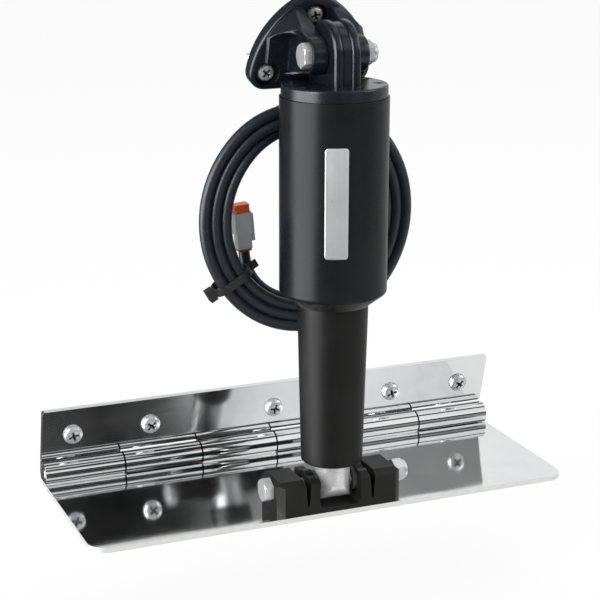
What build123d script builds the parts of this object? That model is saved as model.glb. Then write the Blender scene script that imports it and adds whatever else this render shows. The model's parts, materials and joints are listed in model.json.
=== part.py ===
from build123d import *
import os
from math import atan2, cos, degrees, pi, radians, sin, sqrt, tan

# Electric boat trim tab: a hinged tab, a linear actuator and its transom bracket.
# Frame in millimetres: origin on the flange's back face, midway along it and above
# its screws, where the boat's transom is. X runs along the hinge, Y forward into the
# boat, Z up.

# Driving sizes of the hinge and the tab
hinge_span = 304.8
knuckle_count = 6
knuckle_gap = 0.4
sheet = 3.0
barrel_radius = 7.8
pin_fit = 0.05
roll_seam_angle = 33.0
notch_clearance = 0.8
flange_rise = 42.0
datum_height = 34.0
transom_rake = 14.0
tab_chord = 111.0
tab_corner_radius = 11.0
flange_corner_radius = 1.5
sheet_edge_break = 0.4

# Screws that fasten the flange to the boat
flange_screw_height = 23.8
flange_screw_spacing_inner = 83.0
flange_screw_spacing_outer = 133.0
flange_screw_radius = 3.1
flange_screw_length = 38.0
flange_screw_head_radius = 6.0
flange_screw_head_height = 3.6
screw_hole_clearance = 0.3
point_flat = 0.3

# Pivots: both take the same bolt
bolt_radius = 3.97
bolt_fit = 0.05
bolt_flats = 12.7
bolt_head_height = 5.3
nut_hex_height = 6.2
nut_collar_height = 2.6
bolt_tip = 1.0
bush_wall = 2.0
bush_fit = 0.05
pivot_distance = 254.0
lower_pivot_inset = 16.0
lower_pivot_height = 13.5
upper_pivot_standoff = 38.0

# Lower bracket, a moulding on the tab
lower_bracket_half_width = 39.5
lower_bracket_front = 15.0
lower_bracket_back = 13.0
lower_bracket_height = 20.4
lower_bracket_floor = 2.2
lower_bracket_corner = 4.0
lower_bracket_bevel = 5.0
fork_half_gap = 13.5
fork_ear_thickness = 5.0
fork_ear_height = 22.0
fork_slot_top = 4.2
fork_slot_bottom = 1.4
fork_slot_floor = 5.0
fork_throat_radius = 3.5
bracket_screw_x = 30.5
bracket_screw_y = 8.2
bracket_screw_radius = 2.4
bracket_screw_head_radius = 4.6
bracket_screw_length = 8.0
insert_radius = 3.6
insert_height = 6.0

# Ram and lead screw
ram_radius = 11.0
ram_bore_radius = 7.4
ram_bore_start = 22.0
ram_end_radius = 10.2
ram_top = 96.0
stroke = 57.0
thrust_washer = 2.1
washer_radius = 7.6
side_clearance = 0.2
drive_nut_length = 14.0
drive_nut_flange = 4.0
drive_nut_wall_radius = 9.2
lead_screw_radius = 5.0
lead_screw_start = 30.0
lead_screw_collar_radius = 8.0
lead_screw_collar_height = 3.0
screw_fit = 0.08
slide_clearance = 0.6

# Actuator casing, measured up the axis from the lower pivot
tube_start = 10.0
tube_bottom_radius = 18.3
tube_top_radius = 20.6
tube_straight_start = 106.0
tube_bore_radius = 14.0
tube_flange_thickness = 6.0
tube_rim_chamfer = 0.8
shoulder_start = 110.5
housing_start = 118.0
housing_end = 231.0
housing_radius = 31.2
housing_wall = 2.8
shoulder_rounding = 2.5
casing_fit = 0.2
wiper_height = 4.0
guide_length = 22.0
cap_setback = 0.9
cap_height = 7.0
cap_edge = 1.4
cap_spigot_depth = 9.0
cap_recess_radius = 17.0
cap_recess_depth = 6.0
cap_screw_groove_gap = 0.6
cap_screw_angle = 20.0
cap_screw_radius = 1.5
cap_screw_head_radius = 3.4
cap_screw_head_height = 2.2
cap_screw_length = 28.0
cap_screw_boss_radius = 4.6
o_ring_radius = 0.5
o_ring_groove_depth = 1.1
eye_width = 16.0
eye_radius = 19.5
eye_groove_width = 4.6
eye_groove_depth = 1.3
eye_edge_rounding = 2.4

# Drive train inside the casing
gearbox_flange = 5.0
gearbox_side_gap = 4.4
gearbox_length = 28.0
motor_side_gap = 0.6
motor_length = 58.0
motor_boss_radius = 8.0
motor_boss_height = 3.5
bearing_radius = 11.0
bearing_height = 7.0
screw_shaft_radius = 4.0
screw_shaft_reach = 12.0

# Upper bracket, a moulding on the boat's transom
base_thickness = 8.0
base_half_width = 37.5
base_bottom = -32.0
base_top = 25.5
base_side_x = 28.6
base_side_y = 3.3
base_corner_radius = 10.0
base_top_corner_radius = 9.0
base_edge_rounding = 2.2
base_screw_top = 11.5
base_screw_bottom = -22.0
base_screw_x = 27.0
base_screw_radius = 2.6
base_screw_length = 30.0
base_screw_head_radius = 5.0
base_screw_head_height = 3.0
pocket_radius = 7.2
pocket_depth = 3.6
ear_gap = 0.6
ear_boss_end = 21.0
ear_boss_radius = 13.0
ear_boss_end_radius = 11.4
ear_recess_radius = 8.4
ear_recess_floor = 15.4
ear_root_width = 21.0
ear_root_top = 17.0
ear_root_bottom = -21.0
ear_waist_reach = 10.0
arm_inset = 1.5
ear_waist_end = 19.8
ear_waist_height = 11.8
ear_hollow_reach = 28.0
ear_hollow_bottom = -22.0
ear_hollow_top = 0.0
ear_hollow_crown = 8.4

# Cable, its outlet, coil, tie and plug, placed across and up the actuator's axis
cable_diameter = 6.8
coil_centre_x = 2.3
coil_centre_height = 154.0
coil_outer_half_width = 68.5
coil_outer_half_height = 73.5
coil_width = 20.5
coil_thickness = 13.6
coil_rounding = 6.0
coil_casing_gap = 0.9
outlet_width = 15.0
outlet_height = 19.0
outlet_depth = 15.5
outlet_rounding = 3.0
coil_hang_gap = 1.6
gland_radius = 6.2
gland_height = 7.0
relief_length = 20.0
relief_top_radius = 5.2
relief_tip_radius = 4.2
tie_angle = 218.0
tie_width = 4.8
tie_thickness = 1.2
tie_clearance = 0.3
tie_head_length = 7.5
tie_head_width = 6.0
tie_head_height = 4.6
tie_tail_length = 6.0
plug_foot_x = -34.6
plug_foot_height = 133.5
plug_tilt = 5.0
plug_width = 12.6
plug_depth = 15.0
plug_seal_height = 1.5
plug_rear_height = 10.5
plug_rear_step = 1.0
plug_front_height = 15.0
plug_wedge_height = 5.5
plug_wedge_step = 0.8
plug_latch_width = 6.0
plug_latch_height = 2.0
plug_latch_length = 19.0
plug_rounding = 1.5

# The lead's route from its relief to the coil, across and up the axis
lead_points = [(0.0, 145.0), (6.5, 127.0), (22.0, 106.0)]
tail_start = (-47.0, 122.0)

os.makedirs("parts", exist_ok=True)


def save(part, label):
    """Label a finished piece and write it to its own file."""
    part.label = label
    export_step(part, f"parts/{label}.step")


# Planes of the hinge: local x along a sheet, local y to its rolled side
rake_sin = sin(radians(transom_rake))
rake_cos = cos(radians(transom_rake))
transom = Plane(origin=(0, 0, 0), x_dir=(1, 0, 0), z_dir=(0, -rake_cos, -rake_sin))
hinge_centre = transom.from_local_coords((0, -datum_height, barrel_radius))
tab_section = Plane(origin=hinge_centre, x_dir=(0, -1, 0), z_dir=(1, 0, 0))
flange_section = Plane(origin=hinge_centre, x_dir=(0, -rake_sin, rake_cos), z_dir=(-1, 0, 0))
pin_radius = barrel_radius - sheet - pin_fit
knuckle_length = hinge_span / knuckle_count
notch_start = sqrt((barrel_radius + notch_clearance) ** 2 - (barrel_radius - sheet) ** 2)
tab_bottom = hinge_centre.Z - barrel_radius
tab_top = tab_bottom + sheet
trailing_edge = hinge_centre.Y - tab_chord

# Planes of the actuator: its axis leans so that both pivots fit tab and transom
lower_pin = Vector(0, trailing_edge + lower_pivot_inset, tab_top + lower_pivot_height)
lower_pin_local = transom.to_local_coords(lower_pin)
pin_offset = lower_pin_local.Z - upper_pivot_standoff
upper_pin_rise = lower_pin_local.Y + sqrt(pivot_distance**2 - pin_offset**2)
upper_pin = transom.from_local_coords((0, upper_pin_rise, upper_pivot_standoff))
axis_direction = (upper_pin - lower_pin).normalized()
across = Plane(origin=lower_pin, x_dir=(1, 0, 0), z_dir=axis_direction)
profile = Plane(origin=lower_pin, x_dir=(1, 0, 0), z_dir=across.y_dir * -1)
actuator_axis = Axis(origin=lower_pin, direction=axis_direction)
lower_pivot = Plane(origin=lower_pin, x_dir=(0, 1, 0), z_dir=(1, 0, 0))
upper_pivot = Plane(origin=upper_pin, x_dir=across.y_dir, z_dir=(1, 0, 0))
bolt_bore_radius = bolt_radius + bolt_fit
bush_radius = bolt_bore_radius + bush_wall


def rolled_section(length):
    """Sketch a sheet that ends in a knuckle rolled round the hinge pin."""
    Circle(barrel_radius)
    Circle(barrel_radius - sheet, mode=Mode.SUBTRACT)
    reach = 2 * barrel_radius
    seam = radians(roll_seam_angle)
    opening = [(0, 0), (reach * cos(seam), reach * sin(seam)), (reach, reach), (0, reach)]
    Polygon(*opening, align=None, mode=Mode.SUBTRACT)
    with Locations((0, barrel_radius - sheet)):
        Rectangle(length, sheet, align=(Align.MIN, Align.MIN))


def knuckle_starts(first):
    """Start positions along X of every second knuckle."""
    return [-hinge_span / 2 + i * knuckle_length for i in range(first, knuckle_count, 2)]


# Hinge flange: sheet on the transom with every second knuckle rolled from it
with BuildPart() as hinge_flange:
    for start in knuckle_starts(0):
        with BuildSketch(flange_section.offset(-start - knuckle_gap / 2)):
            rolled_section(notch_start + sheet)
        extrude(amount=knuckle_gap - knuckle_length)
    with BuildSketch(flange_section.offset(-hinge_span / 2)):
        with Locations((notch_start, barrel_radius - sheet)):
            Rectangle(flange_rise - notch_start, sheet, align=(Align.MIN, Align.MIN))
    extrude(amount=hinge_span)
    top_corners = hinge_flange.edges().filter_by(lambda e: abs(e.length - sheet) < 0.01)
    fillet(top_corners.group_by(Axis.Z)[-1], radius=flange_corner_radius)
    screw_rows = [
        -flange_screw_spacing_outer,
        -flange_screw_spacing_inner,
        0,
        flange_screw_spacing_inner,
        flange_screw_spacing_outer,
    ]
    screw_level = flange_screw_height - datum_height
    with BuildSketch(transom):
        with Locations(*[(x, screw_level) for x in screw_rows]):
            Circle(flange_screw_radius + screw_hole_clearance)
    extrude(amount=sheet, mode=Mode.SUBTRACT)
save(hinge_flange.part, "hinge_flange")

# Tab plate: horizontal at rest, with the other knuckles rolled from its front edge
with BuildPart() as tab_plate:
    for start in knuckle_starts(1):
        with BuildSketch(tab_section.offset(start + knuckle_gap / 2)):
            rolled_section(notch_start + sheet)
        extrude(amount=knuckle_length - knuckle_gap)
    with BuildSketch(tab_section.offset(-hinge_span / 2)):
        with Locations((notch_start, barrel_radius - sheet)):
            Rectangle(tab_chord - notch_start, sheet, align=(Align.MIN, Align.MIN))
    extrude(amount=hinge_span)
    upright = tab_plate.edges().filter_by(Axis.Z)
    fillet(upright.group_by(Axis.Y)[0], radius=tab_corner_radius)
    bracket_foot = Plane(origin=(0, lower_pin.Y, tab_top), x_dir=(1, 0, 0), z_dir=(0, 0, 1))
    with Locations(bracket_foot.offset(-sheet).rotated((180, 0, 0))):
        with GridLocations(2 * bracket_screw_x, 2 * bracket_screw_y, 2, 2):
            CounterSinkHole(
                radius=bracket_screw_radius + screw_hole_clearance,
                counter_sink_radius=bracket_screw_head_radius + screw_hole_clearance,
                depth=sheet,
                counter_sink_angle=90,
            )
save(tab_plate.part, "tab_plate")

# Hinge pin through all the knuckles
with BuildPart() as hinge_pin:
    with BuildSketch(tab_section.offset(-hinge_span / 2)):
        Circle(pin_radius)
    extrude(amount=hinge_span)
    chamfer(hinge_pin.edges().filter_by(GeomType.CIRCLE), length=sheet_edge_break)
save(hinge_pin.part, "hinge_pin")


def cross_screw(seat, head_radius, head_height, shank_radius, length, neck_length):
    """A pan head screw with a cross recess, its head above the seat plane."""
    down = Plane(origin=seat.origin, x_dir=seat.x_dir, z_dir=seat.z_dir * -1)
    point_length = 2 * shank_radius
    point_taper = degrees(atan2(shank_radius - point_flat, point_length))
    with BuildPart() as screw:
        with BuildSketch(seat):
            Circle(head_radius)
        extrude(amount=head_height)
        crown = screw.faces().sort_by(Axis(origin=seat.origin, direction=seat.z_dir))[-1]
        fillet(crown.edges(), radius=head_height * 0.7)
        with BuildSketch(seat.offset(head_height)):
            Rectangle(head_radius * 1.1, head_radius * 0.22)
            Rectangle(head_radius * 0.22, head_radius * 1.1)
        extrude(amount=-head_height * 0.55, mode=Mode.SUBTRACT)
        with BuildSketch(down):
            Circle(shank_radius - screw_hole_clearance)
        extrude(amount=neck_length)
        with BuildSketch(down.offset(neck_length)):
            Circle(shank_radius)
        extrude(amount=length - neck_length - point_length)
        with BuildSketch(down.offset(length - point_length)):
            Circle(shank_radius)
        extrude(amount=point_length, taper=point_taper)
    return screw.part


def seat_at(plane, x, y, lift):
    """A plane parallel to the given one, at a point of it and lifted off it."""
    return Plane(origin=plane.from_local_coords((x, y, lift)), x_dir=plane.x_dir, z_dir=plane.z_dir)


# Flange screws, one in each hole, on into the boat
flange_screws = Compound(
    children=[
        cross_screw(
            seat_at(transom, x, screw_level, sheet),
            flange_screw_head_radius,
            flange_screw_head_height,
            flange_screw_radius,
            flange_screw_length,
            sheet + side_clearance,
        )
        for x in screw_rows
    ]
)
save(flange_screws, "flange_screws")

# Lower bracket: two bolt blocks and a fork for the ram, moulded in one
fork_ear_outside = fork_half_gap + fork_ear_thickness
slot_centre = fork_ear_outside + fork_slot_top / 2
with BuildPart() as lower_bracket:
    with BuildSketch(bracket_foot):
        bracket_middle = (lower_bracket_back - lower_bracket_front) / 2
        with Locations((0, bracket_middle)):
            Rectangle(2 * lower_bracket_half_width, lower_bracket_front + lower_bracket_back)
    extrude(amount=lower_bracket_height)
    chamfer(lower_bracket.edges().filter_by(Axis.Z).group_by(Axis.Y)[0], length=lower_bracket_corner)
    outer_tops = lower_bracket.edges().group_by(Axis.Z)[-1]
    chamfer(outer_tops.filter_by(Axis.X).sort_by(Axis.Y)[0], length=lower_bracket_bevel, length2=2.5)
    side_tops = lower_bracket.edges().group_by(Axis.Z)[-1].filter_by(Axis.Y)
    chamfer(side_tops.sort_by(Axis.X)[0], length=2.5)
    chamfer(side_tops.sort_by(Axis.X)[-1], length=2.5)
    back_edge = lower_bracket.edges().group_by(Axis.Z)[-1].filter_by(Axis.X).sort_by(Axis.Y)[-1]
    fillet(back_edge, radius=2.0)
    # Slots between the bolt blocks and the fork's ears
    bracket_face = Plane(
        origin=(0, lower_pin.Y + lower_bracket_back, tab_top), x_dir=(1, 0, 0), z_dir=(0, -1, 0)
    )
    with BuildSketch(bracket_face):
        for side in (-1, 1):
            with BuildLine():
                Polyline(
                    (side * (slot_centre - fork_slot_bottom / 2), fork_slot_floor),
                    (side * (slot_centre + fork_slot_bottom / 2), fork_slot_floor),
                    (side * (slot_centre + fork_slot_top / 2), lower_bracket_height + 1),
                    (side * (slot_centre - fork_slot_top / 2), lower_bracket_height + 1),
                    close=True,
                )
            make_face()
    extrude(amount=lower_bracket_front + lower_bracket_back, mode=Mode.SUBTRACT)
    # Ears of the fork, with rounded tops that stand a little higher
    for side in (-1, 1):
        with BuildSketch(lower_pivot.offset(side * (fork_half_gap + fork_ear_outside) / 2)):
            ear_arc = fork_ear_height - lower_pivot_height
            with BuildLine():
                Polyline(
                    (ear_arc, 0),
                    (lower_bracket_back, -lower_pivot_height),
                    (-lower_bracket_front, -lower_pivot_height),
                    (-ear_arc, 0),
                )
                ThreePointArc((-ear_arc, 0), (0, ear_arc), (ear_arc, 0))
            make_face()
        extrude(amount=fork_ear_thickness / 2, both=True)
    # Throat of the fork, open to the top, with a thin floor
    with BuildSketch(bracket_face):
        with Locations((0, lower_bracket_floor)):
            Rectangle(2 * fork_half_gap, fork_ear_height, align=(Align.CENTER, Align.MIN))
    extrude(amount=lower_bracket_front + lower_bracket_back, mode=Mode.SUBTRACT)
    throat = lower_bracket.edges().filter_by(Axis.Y).filter_by(
        lambda e: abs(abs(e.center().X) - fork_half_gap) < 0.01
        and abs(e.center().Z - tab_top - lower_bracket_floor) < 0.01
    )
    fillet(throat, radius=fork_throat_radius)
    # Cross bore for the pivot bolt and bores for the threaded inserts
    with BuildSketch(lower_pivot.offset(-lower_bracket_half_width)):
        Circle(bolt_bore_radius)
    extrude(amount=2 * lower_bracket_half_width, mode=Mode.SUBTRACT)
    with BuildSketch(bracket_foot):
        with GridLocations(2 * bracket_screw_x, 2 * bracket_screw_y, 2, 2):
            Circle(insert_radius)
    extrude(amount=insert_height, mode=Mode.SUBTRACT)
save(lower_bracket.part, "lower_bracket")

# Threaded inserts in the lower bracket and the countersunk screws from below the tab
with BuildPart() as bracket_inserts:
    with BuildSketch(bracket_foot):
        with GridLocations(2 * bracket_screw_x, 2 * bracket_screw_y, 2, 2):
            Circle(insert_radius - pin_fit)
            Circle(bracket_screw_radius + pin_fit, mode=Mode.SUBTRACT)
    extrude(amount=insert_height)
save(bracket_inserts.part, "bracket_inserts")

with BuildPart() as bracket_screws:
    tab_underside = bracket_foot.offset(-sheet)
    head_depth = bracket_screw_head_radius - bracket_screw_radius
    with BuildSketch(tab_underside):
        with GridLocations(2 * bracket_screw_x, 2 * bracket_screw_y, 2, 2):
            Circle(bracket_screw_radius)
    extrude(amount=bracket_screw_length)
    with BuildSketch(tab_underside):
        with GridLocations(2 * bracket_screw_x, 2 * bracket_screw_y, 2, 2):
            Circle(bracket_screw_head_radius)
    extrude(amount=head_depth, taper=44.9)
    with BuildSketch(tab_underside):
        with GridLocations(2 * bracket_screw_x, 2 * bracket_screw_y, 2, 2):
            Rectangle(bracket_screw_head_radius, 1.1)
            Rectangle(1.1, bracket_screw_head_radius)
    extrude(amount=1.4, taper=14, mode=Mode.SUBTRACT)
save(bracket_screws.part, "bracket_screws")


def hex_bolt(pivot, seat, end):
    """A hex head bolt along a pivot's axis, its head seated on the low side."""
    with BuildPart() as bolt:
        with BuildSketch(pivot.offset(seat - bolt_head_height)):
            RegularPolygon(bolt_flats / 2, 6, major_radius=False, rotation=30)
        extrude(amount=bolt_head_height)
        with BuildSketch(pivot.offset(seat - bolt_head_height)):
            Circle(bolt_flats / 2)
        extrude(amount=bolt_head_height, taper=-60, mode=Mode.INTERSECT)
        with BuildSketch(pivot.offset(seat)):
            Circle(bolt_radius)
        extrude(amount=end - seat)
        chamfer(bolt.faces().sort_by(Axis.X)[-1].edges(), length=bolt_tip * 0.7)
    return bolt.part


def lock_nut(pivot, seat):
    """A lock nut with a round collar, seated on the high side of a pivot."""
    with BuildPart() as nut:
        with BuildSketch(pivot.offset(seat + nut_hex_height)):
            RegularPolygon(bolt_flats / 2, 6, major_radius=False, rotation=30)
        extrude(amount=-nut_hex_height)
        with BuildSketch(pivot.offset(seat + nut_hex_height)):
            Circle(bolt_flats / 2)
        extrude(amount=-nut_hex_height, taper=-60, mode=Mode.INTERSECT)
        with BuildSketch(pivot.offset(seat + nut_hex_height)):
            Circle(bolt_flats / 2 - 0.5)
        extrude(amount=nut_collar_height)
        fillet(nut.faces().sort_by(Axis.X)[-1].edges(), radius=1.2)
        with BuildSketch(pivot.offset(seat)):
            Circle(bolt_bore_radius)
        extrude(amount=nut_hex_height + nut_collar_height, mode=Mode.SUBTRACT)
    return nut.part


nut_height = nut_hex_height + nut_collar_height
lower_bolt_end = lower_bracket_half_width + nut_height + bolt_tip
save(hex_bolt(lower_pivot, -lower_bracket_half_width, lower_bolt_end), "lower_pivot_bolt")
save(lock_nut(lower_pivot, lower_bracket_half_width), "lower_pivot_nut")

# Plastic washers that centre the ram between the fork's ears
with BuildPart() as thrust_washers:
    for side in (-1, 1):
        with BuildSketch(lower_pivot.offset(side * fork_half_gap)):
            Circle(washer_radius)
            Circle(bolt_bore_radius, mode=Mode.SUBTRACT)
        extrude(amount=-side * thrust_washer)
save(thrust_washers.part, "thrust_washers")

# Ram: a steel tube, solid at its eye, rounded about the lower pivot
ram_half_width = fork_half_gap - thrust_washer - side_clearance
with BuildPart() as ram_tube:
    with BuildSketch(across):
        Circle(ram_radius)
    extrude(amount=ram_top)
    with BuildSketch(across):
        Circle(ram_radius)
    extrude(amount=-ram_end_radius)
    with BuildSketch(lower_pivot.offset(-ram_radius)):
        Circle(ram_end_radius)
        with Locations(Location((0, 0), degrees(atan2(-axis_direction.Y, axis_direction.Z)))):
            Rectangle(2.2 * ram_radius, ram_top + 1, align=(Align.CENTER, Align.MIN))
    extrude(amount=2 * ram_radius, mode=Mode.INTERSECT)
    with BuildSketch(across.offset(ram_bore_start)):
        Circle(ram_bore_radius)
    extrude(amount=ram_top - ram_bore_start, mode=Mode.SUBTRACT)
    with BuildSketch(across.offset(ram_top - drive_nut_length)):
        Circle(drive_nut_wall_radius)
    extrude(amount=drive_nut_length, mode=Mode.SUBTRACT)
    with BuildSketch(lower_pivot.offset(-ram_radius)):
        Circle(bush_radius)
    extrude(amount=2 * ram_radius, mode=Mode.SUBTRACT)
    # The eye's sides are faced off square to the pivot
    for side in (-1, 1):
        with BuildSketch(across.offset(-ram_end_radius)):
            with Locations((side * (ram_half_width + ram_radius / 2), 0)):
                Rectangle(ram_radius, 3 * ram_radius)
        extrude(amount=2 * ram_end_radius, mode=Mode.SUBTRACT)
save(ram_tube.part, "ram_tube")

with BuildPart() as ram_bush:
    with BuildSketch(lower_pivot.offset(-ram_half_width)):
        Circle(bush_radius - bush_fit)
        Circle(bolt_bore_radius, mode=Mode.SUBTRACT)
    extrude(amount=2 * ram_half_width)
    with BuildSketch(across.offset(-ram_end_radius)):
        Circle(ram_radius - bush_fit)
    extrude(amount=2 * ram_end_radius, mode=Mode.INTERSECT)
save(ram_bush.part, "ram_bush")

# Drive nut: bronze, its body in the ram's mouth and its flange on the ram's end
with BuildPart() as drive_nut:
    with BuildSketch(across.offset(ram_top - drive_nut_length)):
        Circle(drive_nut_wall_radius - bush_fit)
    extrude(amount=drive_nut_length)
    with BuildSketch(across.offset(ram_top)):
        Circle(tube_bore_radius - slide_clearance)
    extrude(amount=drive_nut_flange)
    with BuildSketch(across.offset(ram_top - drive_nut_length)):
        Circle(lead_screw_radius + screw_fit)
    extrude(amount=drive_nut_length + drive_nut_flange, mode=Mode.SUBTRACT)
save(drive_nut.part, "drive_nut")

# Lead screw, held at its collar by the bearing and driven at its shaft
tube_flange_top = housing_start + tube_flange_thickness
bearing_start = tube_flange_top - bearing_height
with BuildPart() as lead_screw:
    with BuildSketch(across.offset(lead_screw_start)):
        Circle(lead_screw_radius)
    extrude(amount=bearing_start - lead_screw_start)
    with BuildSketch(across.offset(bearing_start - side_clearance - lead_screw_collar_height)):
        Circle(lead_screw_collar_radius)
    extrude(amount=lead_screw_collar_height)
    with BuildSketch(across.offset(bearing_start - side_clearance)):
        Circle(screw_shaft_radius)
    extrude(amount=side_clearance + bearing_height + screw_shaft_reach)
    chamfer(lead_screw.faces().sort_by(Axis.Z)[0].edges(), length=1.0)
save(lead_screw.part, "lead_screw")

# Radii that follow the housing: its bore, what fits in it and the screws past the seal
housing_bore_radius = housing_radius - housing_wall
spigot_radius = housing_bore_radius - casing_fit
cap_radius = housing_radius - cap_setback
cap_screw_reach = spigot_radius - o_ring_groove_depth - cap_screw_radius - cap_screw_groove_gap
gearbox_radius = housing_bore_radius - gearbox_side_gap
motor_radius = cap_screw_reach - cap_screw_boss_radius - motor_side_gap

# Lower tube: tapered moulding with the ram's guide below and a flange inside the housing
with BuildPart() as lower_tube:
    with BuildSketch(profile):
        with BuildLine():
            Polyline(
                (0, tube_start),
                (tube_bottom_radius - tube_rim_chamfer, tube_start),
                (tube_bottom_radius, tube_start + tube_rim_chamfer),
                (tube_top_radius, tube_straight_start),
                (tube_top_radius, housing_start),
                (spigot_radius, housing_start),
                (spigot_radius, tube_flange_top),
                (0, tube_flange_top),
                close=True,
            )
        make_face()
    revolve(axis=actuator_axis)
    with BuildSketch(across.offset(tube_start)):
        Circle(tube_bore_radius)
    extrude(amount=bearing_start - 2 - tube_start, mode=Mode.SUBTRACT)
    with BuildSketch(across.offset(tube_start)):
        Circle(bearing_radius + pin_fit)
    extrude(amount=tube_flange_top - tube_start, mode=Mode.SUBTRACT)
save(lower_tube.part, "lower_tube")


def ring(start, height, outer, inner):
    """A plain ring about the actuator's axis."""
    with BuildPart() as piece:
        with BuildSketch(across.offset(start)):
            Circle(outer)
            Circle(inner, mode=Mode.SUBTRACT)
        extrude(amount=height)
    return piece.part


seal_outer = tube_bore_radius - pin_fit
save(ring(tube_start + 0.6, wiper_height, seal_outer, ram_radius + screw_fit), "wiper_seal")
guide_start = tube_start + 0.6 + wiper_height
save(ring(guide_start, guide_length, seal_outer, ram_radius + pin_fit), "rod_guide")
save(ring(bearing_start, bearing_height, bearing_radius, screw_shaft_radius + pin_fit), "screw_bearing")

# Motor housing: a sleeve that closes to the tube in a short cone, with the cable outlet behind
coil_inner_half_width = coil_outer_half_width - coil_width
coil_inner_half_height = coil_outer_half_height - coil_width
coil_front = housing_radius + coil_casing_gap
coil_middle = coil_front + coil_thickness / 2
outlet_top = coil_centre_height + coil_inner_half_height - coil_hang_gap
outlet_bottom = outlet_top - outlet_height
cap_screw_spots = [
    (cap_screw_reach * cos(radians(a)), cap_screw_reach * sin(radians(a)))
    for a in (cap_screw_angle, 180 - cap_screw_angle, 180 + cap_screw_angle, -cap_screw_angle)
]
with BuildPart() as motor_housing:
    with BuildSketch(profile):
        with BuildLine():
            Polyline(
                (0, shoulder_start),
                (tube_top_radius + pin_fit + 0.9, shoulder_start),
                (housing_radius, housing_start),
                (housing_radius, housing_end),
                (0, housing_end),
                close=True,
            )
        make_face()
    revolve(axis=actuator_axis)
    rim_edges = motor_housing.edges().filter_by(
        lambda e: e.geom_type == GeomType.CIRCLE and abs(e.radius - housing_radius) < 0.01
    )
    fillet(rim_edges.sort_by(Axis.Z)[0], radius=shoulder_rounding)
    outlet_plane = Plane(
        origin=across.from_local_coords((0, 0, outlet_bottom)),
        x_dir=(1, 0, 0),
        z_dir=axis_direction,
    )
    with BuildSketch(outlet_plane):
        outlet_reach = housing_radius + outlet_depth
        Rectangle(outlet_width, outlet_reach, align=(Align.CENTER, Align.MIN))
    extrude(amount=outlet_height)
    outlet_edges = motor_housing.edges().filter_by(
        lambda e: across.to_local_coords(e.center()).Y > housing_radius + 1
    )
    fillet(outlet_edges, radius=outlet_rounding)
    with BuildSketch(across.offset(housing_start)):
        Circle(housing_bore_radius)
    extrude(amount=housing_end - housing_start, mode=Mode.SUBTRACT)
    with BuildSketch(across.offset(shoulder_start)):
        Circle(tube_top_radius + pin_fit)
    extrude(amount=housing_start - shoulder_start, mode=Mode.SUBTRACT)
    # Screw bosses inside the wall, below the cap's spigot
    boss_top = housing_end - cap_spigot_depth
    with BuildSketch(across.offset(boss_top)):
        with Locations(*cap_screw_spots):
            Circle(cap_screw_boss_radius)
    extrude(amount=-cap_screw_length * 0.75)
    with BuildSketch(across.offset(boss_top)):
        with Locations(*cap_screw_spots):
            Circle(cap_screw_radius + pin_fit)
    extrude(amount=-cap_screw_length * 0.75, mode=Mode.SUBTRACT)
    # Passage for the cable from the outlet's foot into the housing
    with BuildSketch(outlet_plane):
        with Locations((0, coil_middle)):
            Circle(cable_diameter / 2)
    extrude(amount=outlet_height * 0.55, mode=Mode.SUBTRACT)
save(motor_housing.part, "motor_housing")

# Drive train: gearbox on the tube's flange, motor on the gearbox
gearbox_start = tube_flange_top
motor_start = gearbox_start + gearbox_length
with BuildPart() as gearbox:
    with BuildSketch(across.offset(gearbox_start)):
        Circle(spigot_radius)
    extrude(amount=gearbox_flange)
    with BuildSketch(across.offset(gearbox_start)):
        Circle(gearbox_radius)
    extrude(amount=gearbox_length)
    with BuildSketch(across.offset(gearbox_start)):
        Circle(screw_shaft_radius + pin_fit)
    extrude(amount=screw_shaft_reach + side_clearance, mode=Mode.SUBTRACT)
save(gearbox.part, "gearbox")

with BuildPart() as motor:
    with BuildSketch(across.offset(motor_start)):
        Circle(motor_radius)
    extrude(amount=motor_length)
    fillet(motor.edges().sort_by(Axis.Z)[-1], radius=2.0)
    with BuildSketch(across.offset(motor_start + motor_length)):
        Circle(motor_boss_radius)
    extrude(amount=motor_boss_height)
save(motor.part, "motor")

# Top cap: disc, spigot and the grooved eye of the upper pivot in one moulding
cap_top = housing_end + cap_height
eye_foot = pivot_distance - cap_top
cheek_width = (eye_width - eye_groove_width) / 2
with BuildPart() as eye_cheeks:
    for side in (-1, 1):
        with BuildSketch(upper_pivot.offset(side * (eye_width - cheek_width) / 2)):
            Circle(eye_radius)
            with Locations((0, -eye_foot)):
                Rectangle(2 * eye_radius, eye_foot, align=(Align.CENTER, Align.MIN))
        extrude(amount=cheek_width / 2, both=True)
    crest = eye_cheeks.edges().filter_by(lambda e: across.to_local_coords(e.center()).Z > cap_top + 0.5)
    fillet(crest, radius=eye_edge_rounding)

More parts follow.
